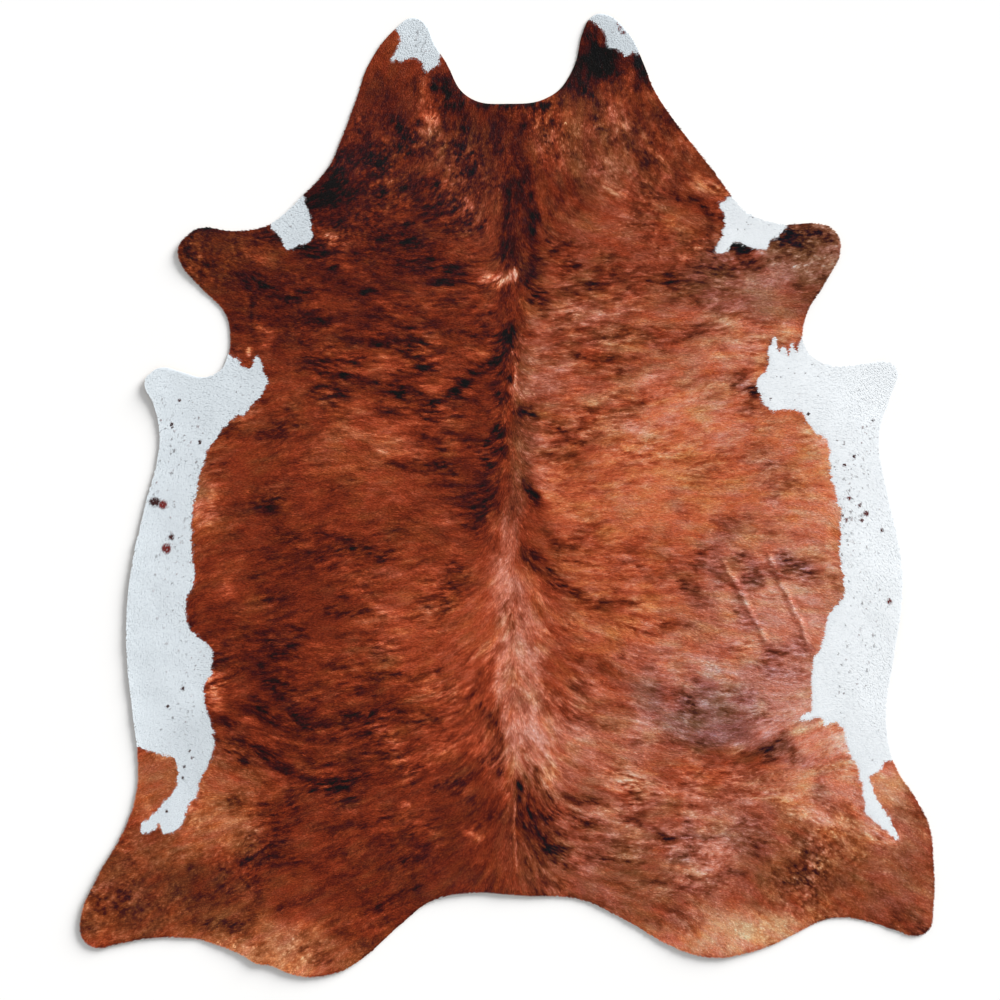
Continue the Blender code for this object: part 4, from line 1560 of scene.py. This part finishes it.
# ---------------------------------------------------------------- the hair
rng = np.random.default_rng(7)
area = float((DEEP > 0).sum()) * GRID * GRID
gap = math.sqrt(area / HAIR_COUNT / math.sqrt(0.75))
hx, hy = np.meshgrid(
    np.arange(LOW[0], HIGH[0], gap), np.arange(LOW[1], HIGH[1], gap * math.sqrt(0.75))
)
hx = hx + (np.arange(hx.shape[0]) % 2)[:, None] * gap / 2
hx = hx.ravel() + rng.uniform(-0.5, 0.5, hx.size) * gap
hy = hy.ravel() + rng.uniform(-0.5, 0.5, hy.size) * gap
keep = at(DEEP, hx, hy) > SHEET_INSET - 0.2 * MM
hx, hy = hx[keep], hy[keep]
count = len(hx)

hv = MIDDLE_V - hy / STEP
hu = hx / STEP + SPINE_U
neck = ease(300.0, 120.0, hv)
legs = ease(620.0, 1150.0, np.hypot(hx, hy) / MM)
rough = at(mottle, hx, hy)
on_white = at(white, hx, hy)
calm = 1.0 - 0.95 * (on_white > 0)  # white hair lies more evenly
turn = rng.normal(0.0, 1.0, count) * np.radians(4.5 + 9.0 * rough)
ax, ay = at(FLOW_X, hx, hy), at(FLOW_Y, hx, hy)
ca, sa = np.cos(turn), np.sin(turn)
ax, ay = ax * ca - ay * sa, ax * sa + ay * ca
size = np.hypot(ax, ay)
ax, ay = ax / size, ay / size
long = HAIR_LENGTH * rng.uniform(0.72, 1.25, count) * (1 - 0.22 * neck - 0.30 * legs)
long *= 1.0 - 0.40 * np.exp(-((on_white / (7.0 * MM)) ** 2))  # short where colours meet
wide = HAIR_WIDTH * rng.uniform(0.75, 1.25, count) * (1 + 0.50 * (on_white > 0))
for _ in range(2):
    here = at(DEEP, hx, hy)
    tip = at(DEEP, hx + ax * long, hy + ay * long)
    over = tip < -OVERHANG
    fits = np.clip((here + OVERHANG) / np.maximum(here - tip, 1e-6), 0.15, 1.0)
    long = np.where(over, long * fits, long)

# a hair has one colour: the coat's colour under its middle
cx, cy = hx + 0.42 * ax * long, hy + 0.42 * ay * long
root_tone = at(tone, cx, cy)
root_white = at(white, cx, cy) + rng.normal(0.0, 0.7, count) * MM > 0
stray = rng.normal(0.0, 1.0, count)
stray += 2.0 * (rng.random(count) < 0.025) * ease(0.75, 0.45, root_tone)  # a few pale hairs, partly real and partly painted glints of shine
stray -= 2.4 * (rng.random(count) < 0.10) * ease(0.50, 0.75, root_tone)  # and dark ones
own_hue = rng.normal(0.0, 1.0, (count, 3)) * (0.10, 0.11, 0.07)  # no two hairs alike
fleck = np.zeros(count)
redness = np.zeros(count)
solid = np.zeros(count, bool)
order = np.argsort(cy)
sorted_y = cy[order]


def spot_at(u, v, half_u, half_v, red, strength=1.0):
    """Dark hair in one small spot."""
    x, y = metres(u, v)
    ru, rv = half_u * STEP, half_v * STEP
    a, b = np.searchsorted(sorted_y, (y - 2 * rv, y + 2 * rv))
    ids = order[a:b]
    ids = ids[np.abs(cx[ids] - x) < 2 * ru]
    gone = np.hypot((cx[ids] - x) / ru, (cy[ids] - y) / rv)
    amount = strength * ease(1.25, 0.75, gone)
    stronger = amount > fleck[ids]
    redness[ids[stronger]] = red
    solid[ids[stronger]] = half_u > 2.1
    fleck[ids] = np.maximum(fleck[ids], amount)


for u, v, half_u, half_v, red in SPOTS:
    spot_at(u, v, half_u, half_v, red)
dots = np.random.default_rng(17)
for u, v, half_u, half_v, how_many, big in FLECKS:
    for _ in range(how_many):
        fu = u + dots.normal() * half_u * 0.6
        fv = v + dots.normal() * half_v * 0.6
        r = big * (0.6 + 0.9 * dots.random() ** 3)
        spot_at(fu, fv, r, r * dots.uniform(1.0, 2.0), dots.random() ** 3 * 0.8,
                dots.uniform(0.18, 0.66))

stand = (0.64 + rng.uniform(-0.26, 0.26, count) * calm) * MM  # how high its back rises
end = (0.80 + rng.uniform(-0.48, 0.48, count) * calm) * MM  # how high its tip lies
roll = rng.normal(0.0, 0.12, count) * calm  # one edge of the hair lower than the other
spotted = fleck > 0.3  # hair in a spot is short and lies on top, so that it shows as a dot
short = np.where(solid, 0.80, 0.50)
hx, hy = np.where(spotted, cx - 0.42 * short * ax * long, hx), np.where(
    spotted, cy - 0.42 * short * ay * long, hy
)
long = np.where(spotted, long * short, long)
stand += 0.35 * MM * spotted
end += 0.45 * MM * spotted
bend = 0.45
mx, my = hx + ax * long * bend, hy + ay * long * bend
tx, ty = hx + ax * long, hy + ay * long
sx, sy = -ay * wide / 2, ax * wide / 2
root_z = at(SKIN, hx, hy) - 0.2 * MM
mid_z = at(SKIN, mx, my) + stand
tip_z = at(SKIN, tx, ty) + end
tilt = roll * wide / 2
points = np.stack(
    [
        np.column_stack([hx, hy, root_z]),
        np.column_stack([mx - sx, my - sy, mid_z - tilt]),
        np.column_stack([mx + sx, my + sy, mid_z + tilt]),
        np.column_stack([tx, ty, tip_z]),
    ],
    axis=1,
)
blade = np.array([[0, 1, 2], [1, 3, 2]])

cuts = np.quantile(hy, np.linspace(0, 1, HAIR_PIECES + 1))
names = ("coat_rump", "coat_loin", "coat_middle", "coat_ribs", "coat_neck")
coats = []
for number, name in enumerate(names):
    mine = (hy >= cuts[number]) & (hy < cuts[number + 1] if number < 4 else hy >= cuts[4])
    p = points[mine]
    n = len(p)
    co_hair = p.reshape(-1, 3)
    hair_faces = (blade[None] + 4 * np.arange(n)[:, None, None]).reshape(-1, 3)
    data = new_mesh(name, co_hair, hair_faces)

    def each(values):
        return np.repeat(values[mine], 4)

    give(data, "tone", each(root_tone))
    give(data, "white", each(root_white.astype(float)))
    give(data, "lit_white", each(at(lit_white, cx, cy)))
    give(data, "stray", each(stray))
    give(data, "fleck", each(fleck))
    give(data, "red", each(redness))
    give(data, "along", np.tile((0.0, bend, bend, 1.0), n))
    rx, ry = cx[mine], cy[mine]
    give_vector(
        data,
        "hue",
        np.repeat(
            np.clip(
                np.column_stack([at(rose, rx, ry), at(gold, rx, ry), at(plum, rx, ry)])
                + own_hue[mine],
                0.0,
                1.3,
            ),
            4,
            axis=0,
        ),
    )
    low, high = co_hair[:, :2].min(0), co_hair[:, :2].max(0)
    add_map(data, map_flat(data, co_hair, hair_faces, low, high))
    coat = bpy.data.objects.new(name, data)
    bpy.context.scene.collection.objects.link(coat)
    coats.append(coat)


# ---------------------------------------------------------------- materials
def linear(r, g, b):
    """A colour given as it shows on a screen, 0 to 255, in Blender's own scale."""

    def one(c):
        c /= 255.0
        return c / 12.92 if c <= 0.04045 else ((c + 0.055) / 1.055) ** 2.4

    return (one(r), one(g), one(b), 1.0)


GLOSS = 0.008  # light that the hairs' shine adds to every colour
LIT = 0.80  # the share of full light that reaches hair lying in a coat


def dye(r, g, b):
    """The hair's own colour for a colour that shows on screen."""
    return tuple(max((c - GLOSS) / LIT, 0.002) for c in linear(r, g, b)[:3]) + (1.0,)


BROWNS = (
    # tone   colour as it shows
    (0.00, (26, 16, 15)),
    (0.20, (60, 24, 17)),
    (0.35, (91, 35, 22)),
    (0.50, (122, 48, 29)),
    (0.65, (156, 66, 41)),
    (0.80, (192, 94, 61)),
    (0.92, (211, 122, 85)),
    (1.00, (222, 152, 114)),
)


class Nodes:
    """Short ways to build a material's nodes."""

    def __init__(self, name):
        self.material = bpy.data.materials.new(name)
        self.material.use_nodes = True
        self.tree = self.material.node_tree
        self.shader = self.tree.nodes["Principled BSDF"]

    def add(self, kind, **settings):
        node = self.tree.nodes.new(kind)
        for key, value in settings.items():
            setattr(node, key, value)
        return node

    def join(self, a, b):
        self.tree.links.new(a, b)

    def read(self, name):
        return self.add("ShaderNodeAttribute", attribute_name=name)

    def math(self, what, a, b, clamp=False):
        node = self.add("ShaderNodeMath", operation=what, use_clamp=clamp)
        for socket, value in zip(node.inputs, (a, b)):
            if isinstance(value, (int, float)):
                socket.default_value = value
            else:
                self.join(value, socket)
        return node.outputs[0]

    def mix(self, share, a, b, blend="MIX"):
        node = self.add("ShaderNodeMix", data_type="RGBA", blend_type=blend)
        for index, value in ((0, share), (6, a), (7, b)):
            if isinstance(value, (int, float, tuple)):
                node.inputs[index].default_value = value
            else:
                self.join(value, node.inputs[index])
        return node.outputs[2]

    def ramp(self, value, stops, smooth=False):
        node = self.add("ShaderNodeValToRGB")
        node.color_ramp.interpolation = "EASE" if smooth else "LINEAR"
        steps = node.color_ramp.elements
        while len(steps) < len(stops):
            steps.new(0.5)
        for step, (place, colour) in zip(steps, stops):
            step.position = place
            step.color = colour
        self.join(value, node.inputs[0])
        return node.outputs[0]

    def noise(self, scale, detail=2.0, stretch=(1.0, 1.0, 1.0)):
        where = self.add("ShaderNodeTexCoord").outputs["Object"]
        size = self.add("ShaderNodeVectorMath", operation="MULTIPLY")
        size.inputs[1].default_value = stretch
        self.join(where, size.inputs[0])
        texture = self.add("ShaderNodeTexNoise")
        texture.inputs["Scale"].default_value = scale
        texture.inputs["Detail"].default_value = detail
        self.join(size.outputs[0], texture.inputs["Vector"])
        return texture.outputs["Fac"]


def coat_colour(made, tone_value):
    """Brown hair colours from the coat's fields."""
    stops = [(place, dye(*colour)) for place, colour in BROWNS]
    brown = made.ramp(tone_value, stops)
    hue = made.add("ShaderNodeSeparateXYZ")
    made.join(made.read("hue").outputs["Vector"], hue.inputs[0])
    rosy = made.mix(1.0, brown, (0.97, 1.75, 3.20, 1.0), "MULTIPLY")
    brown = made.mix(hue.outputs[0], brown, rosy)
    golden = made.mix(1.0, brown, (0.98, 1.45, 1.10, 1.0), "MULTIPLY")
    brown = made.mix(hue.outputs[1], brown, golden)
    plummy = made.mix(1.0, brown, (0.82, 1.02, 1.60, 1.0), "MULTIPLY")
    return made.mix(hue.outputs[2], brown, plummy)


def hair_material():
    made = Nodes("brindle_hair")
    stray_value = made.read("stray").outputs["Fac"]
    own = made.math("MULTIPLY", stray_value, 0.028)
    value = made.math("ADD", made.read("tone").outputs["Fac"], own)
    grain = made.math("SUBTRACT", made.noise(420.0, 3.0), 0.5)
    value = made.math("ADD", value, made.math("MULTIPLY", grain, 0.06), clamp=True)
    brown = coat_colour(made, value)
    pale = made.math("MULTIPLY_ADD", stray_value, 0.08)
    pale.node.inputs[2].default_value = 0.5
    # painted shade and light: white hair is set greyer on the shaded left and brighter on the lit right
    shaded_white_hair = made.ramp(
        pale,
        [(0.0, linear(198, 206, 212)), (0.5, linear(203, 211, 217)), (1.0, linear(209, 216, 221))],
    )
    lit_white_hair = made.ramp(
        pale,
        [(0.0, linear(233, 238, 243)), (0.5, linear(239, 244, 248)), (1.0, linear(245, 248, 251))],
    )
    white_hair = made.mix(made.read("lit_white").outputs["Fac"], shaded_white_hair, lit_white_hair)
    spot = made.mix(
        made.read("red").outputs["Fac"], linear(44, 30, 30), linear(112, 36, 34)
    )
    white_hair = made.mix(made.read("fleck").outputs["Fac"], white_hair, spot)
    colour = made.mix(made.read("white").outputs["Fac"], brown, white_hair)
    # painted shade: brown hair is darker towards its root, where other hairs cover it; white hair is left even
    root = made.ramp(
        made.read("along").outputs["Fac"],
        [(0.0, (0.55, 0.55, 0.55, 1.0)), (0.4, (0.95, 0.95, 0.95, 1.0)), (1.0, (1, 1, 1, 1))],
    )
    shaded_at_root = made.mix(1.0, colour, root, "MULTIPLY")
    colour = made.mix(made.read("white").outputs["Fac"], shaded_at_root, colour)
    made.join(colour, made.shader.inputs["Base Color"])
    shine = made.noise(300.0, 2.0)
    made.join(
        made.math("ADD", made.math("MULTIPLY", shine, 0.22), 0.42),
        made.shader.inputs["Roughness"],
    )
    made.shader.inputs["Specular IOR Level"].default_value = 0.12
    bump = made.add("ShaderNodeBump")
    bump.inputs["Strength"].default_value = 0.25
    bump.inputs["Distance"].default_value = 0.0004
    made.join(made.noise(1400.0, 2.0), bump.inputs["Height"])
    made.join(bump.outputs[0], made.shader.inputs["Normal"])
    return made.material


def under_coat_material():
    """The downy hair and skin that shows between the hairs."""
    made = Nodes("under_coat")
    grain = made.math("SUBTRACT", made.noise(520.0, 4.0), 0.5)
    value = made.math("ADD", made.read("tone").outputs["Fac"], -0.06)
    value = made.math("ADD", value, made.math("MULTIPLY", grain, 0.35), clamp=True)
    brown = coat_colour(made, value)
    # painted shade and light: the down is set greyer on the shaded left and brighter on the lit right
    down = made.mix(
        made.read("lit_white").outputs["Fac"], linear(204, 212, 218), linear(238, 243, 247)
    )
    colour = made.mix(made.read("white").outputs["Fac"], brown, down)
    made.join(colour, made.shader.inputs["Base Color"])
    made.shader.inputs["Specular IOR Level"].default_value = 0.12
    made.join(
        made.math("ADD", made.math("MULTIPLY", made.noise(260.0), 0.2), 0.55),
        made.shader.inputs["Roughness"],
    )
    bump = made.add("ShaderNodeBump")
    bump.inputs["Strength"].default_value = 0.5
    bump.inputs["Distance"].default_value = 0.0008
    made.join(made.noise(700.0, 3.0), bump.inputs["Height"])
    made.join(bump.outputs[0], made.shader.inputs["Normal"])
    return made.material


def suede_material():
    """The tanned flesh side and the cut edge."""
    made = Nodes("tanned_flesh_side")
    cloud = made.noise(7.0, 5.0)
    fibre = made.noise(900.0, 4.0)
    value = made.math("MULTIPLY_ADD", fibre, 0.5)
    value.node.inputs[2].default_value = 0.1
    value = made.math("ADD", made.math("MULTIPLY", cloud, 0.5), value)
    colour = made.ramp(
        value,
        [
            (0.25, linear(150, 128, 104)),
            (0.55, linear(188, 166, 138)),
            (0.85, linear(212, 194, 168)),
        ],
    )
    made.join(colour, made.shader.inputs["Base Color"])
    made.join(
        made.math("ADD", made.math("MULTIPLY", fibre, 0.15), 0.78),
        made.shader.inputs["Roughness"],
    )
    made.shader.inputs["Specular IOR Level"].default_value = 0.2
    bump = made.add("ShaderNodeBump")
    bump.inputs["Strength"].default_value = 0.6
    bump.inputs["Distance"].default_value = 0.0006
    made.join(fibre, bump.inputs["Height"])
    made.join(bump.outputs[0], made.shader.inputs["Normal"])
    return made.material


def floor_material():
    made = Nodes("plain_floor")
    value = made.noise(3.0, 2.0)
    colour = made.ramp(value, [(0.0, (0.885, 0.885, 0.885, 1)), (1.0, (0.90, 0.90, 0.90, 1))])
    made.join(colour, made.shader.inputs["Base Color"])
    made.shader.inputs["Roughness"].default_value = 0.9
    made.shader.inputs["Specular IOR Level"].default_value = 0.1
    return made.material


sheet_data.materials.append(under_coat_material())
sheet_data.materials.append(suede_material())
hair = hair_material()
for coat in coats:
    coat.data.materials.append(hair)

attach(hide_sheet, "root")
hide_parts("hide")
for coat in coats:
    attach(coat, "root")
width, height = cad_high.x - cad_low.x, cad_high.y - cad_low.y

# ---------------------------------------------------------------- floor, light, camera
bpy.ops.mesh.primitive_plane_add(size=30.0, location=(0.0, 0.0, -0.0002))
floor = bpy.context.object
floor.name = "floor"
floor.data.materials.append(floor_material())

world = bpy.data.worlds.new("studio")
world.use_nodes = True
world.node_tree.nodes["Background"].inputs["Color"].default_value = (1.0, 1.0, 1.0, 1.0)
world.node_tree.nodes["Background"].inputs["Strength"].default_value = 0.50
bpy.context.scene.world = world

toward = Vector((math.cos(math.radians(42.0)), math.sin(math.radians(42.0)), 0.0))
up = math.radians(21.0)
toward = toward * math.cos(up) + Vector((0.0, 0.0, math.sin(up)))
lamp = bpy.data.lights.new("key", "SUN")
lamp.energy = 5.6
lamp.angle = math.radians(32.0)
lamp.color = (1.0, 0.99, 0.975)
key = bpy.data.objects.new("key", lamp)
key.rotation_mode = "QUATERNION"
key.rotation_quaternion = toward.to_track_quat("Z", "Y")
bpy.context.scene.collection.objects.link(key)

LENS, SENSOR = 85.0, 36.0
lens_data = bpy.data.cameras.new("camera")
lens_data.lens = LENS
lens_data.sensor_width = SENSOR
lens_data.clip_end = 100.0
camera = bpy.data.objects.new("camera", lens_data)
middle_x, middle_y = metres(500.0, 500.0)
camera.location = (middle_x, middle_y, 1000.0 * STEP * LENS / SENSOR + 5.0 * MM)
bpy.context.scene.collection.objects.link(camera)
bpy.context.scene.camera = camera

bpy.context.scene.view_settings.view_transform = "Standard"
bpy.context.scene.view_settings.look = "None"
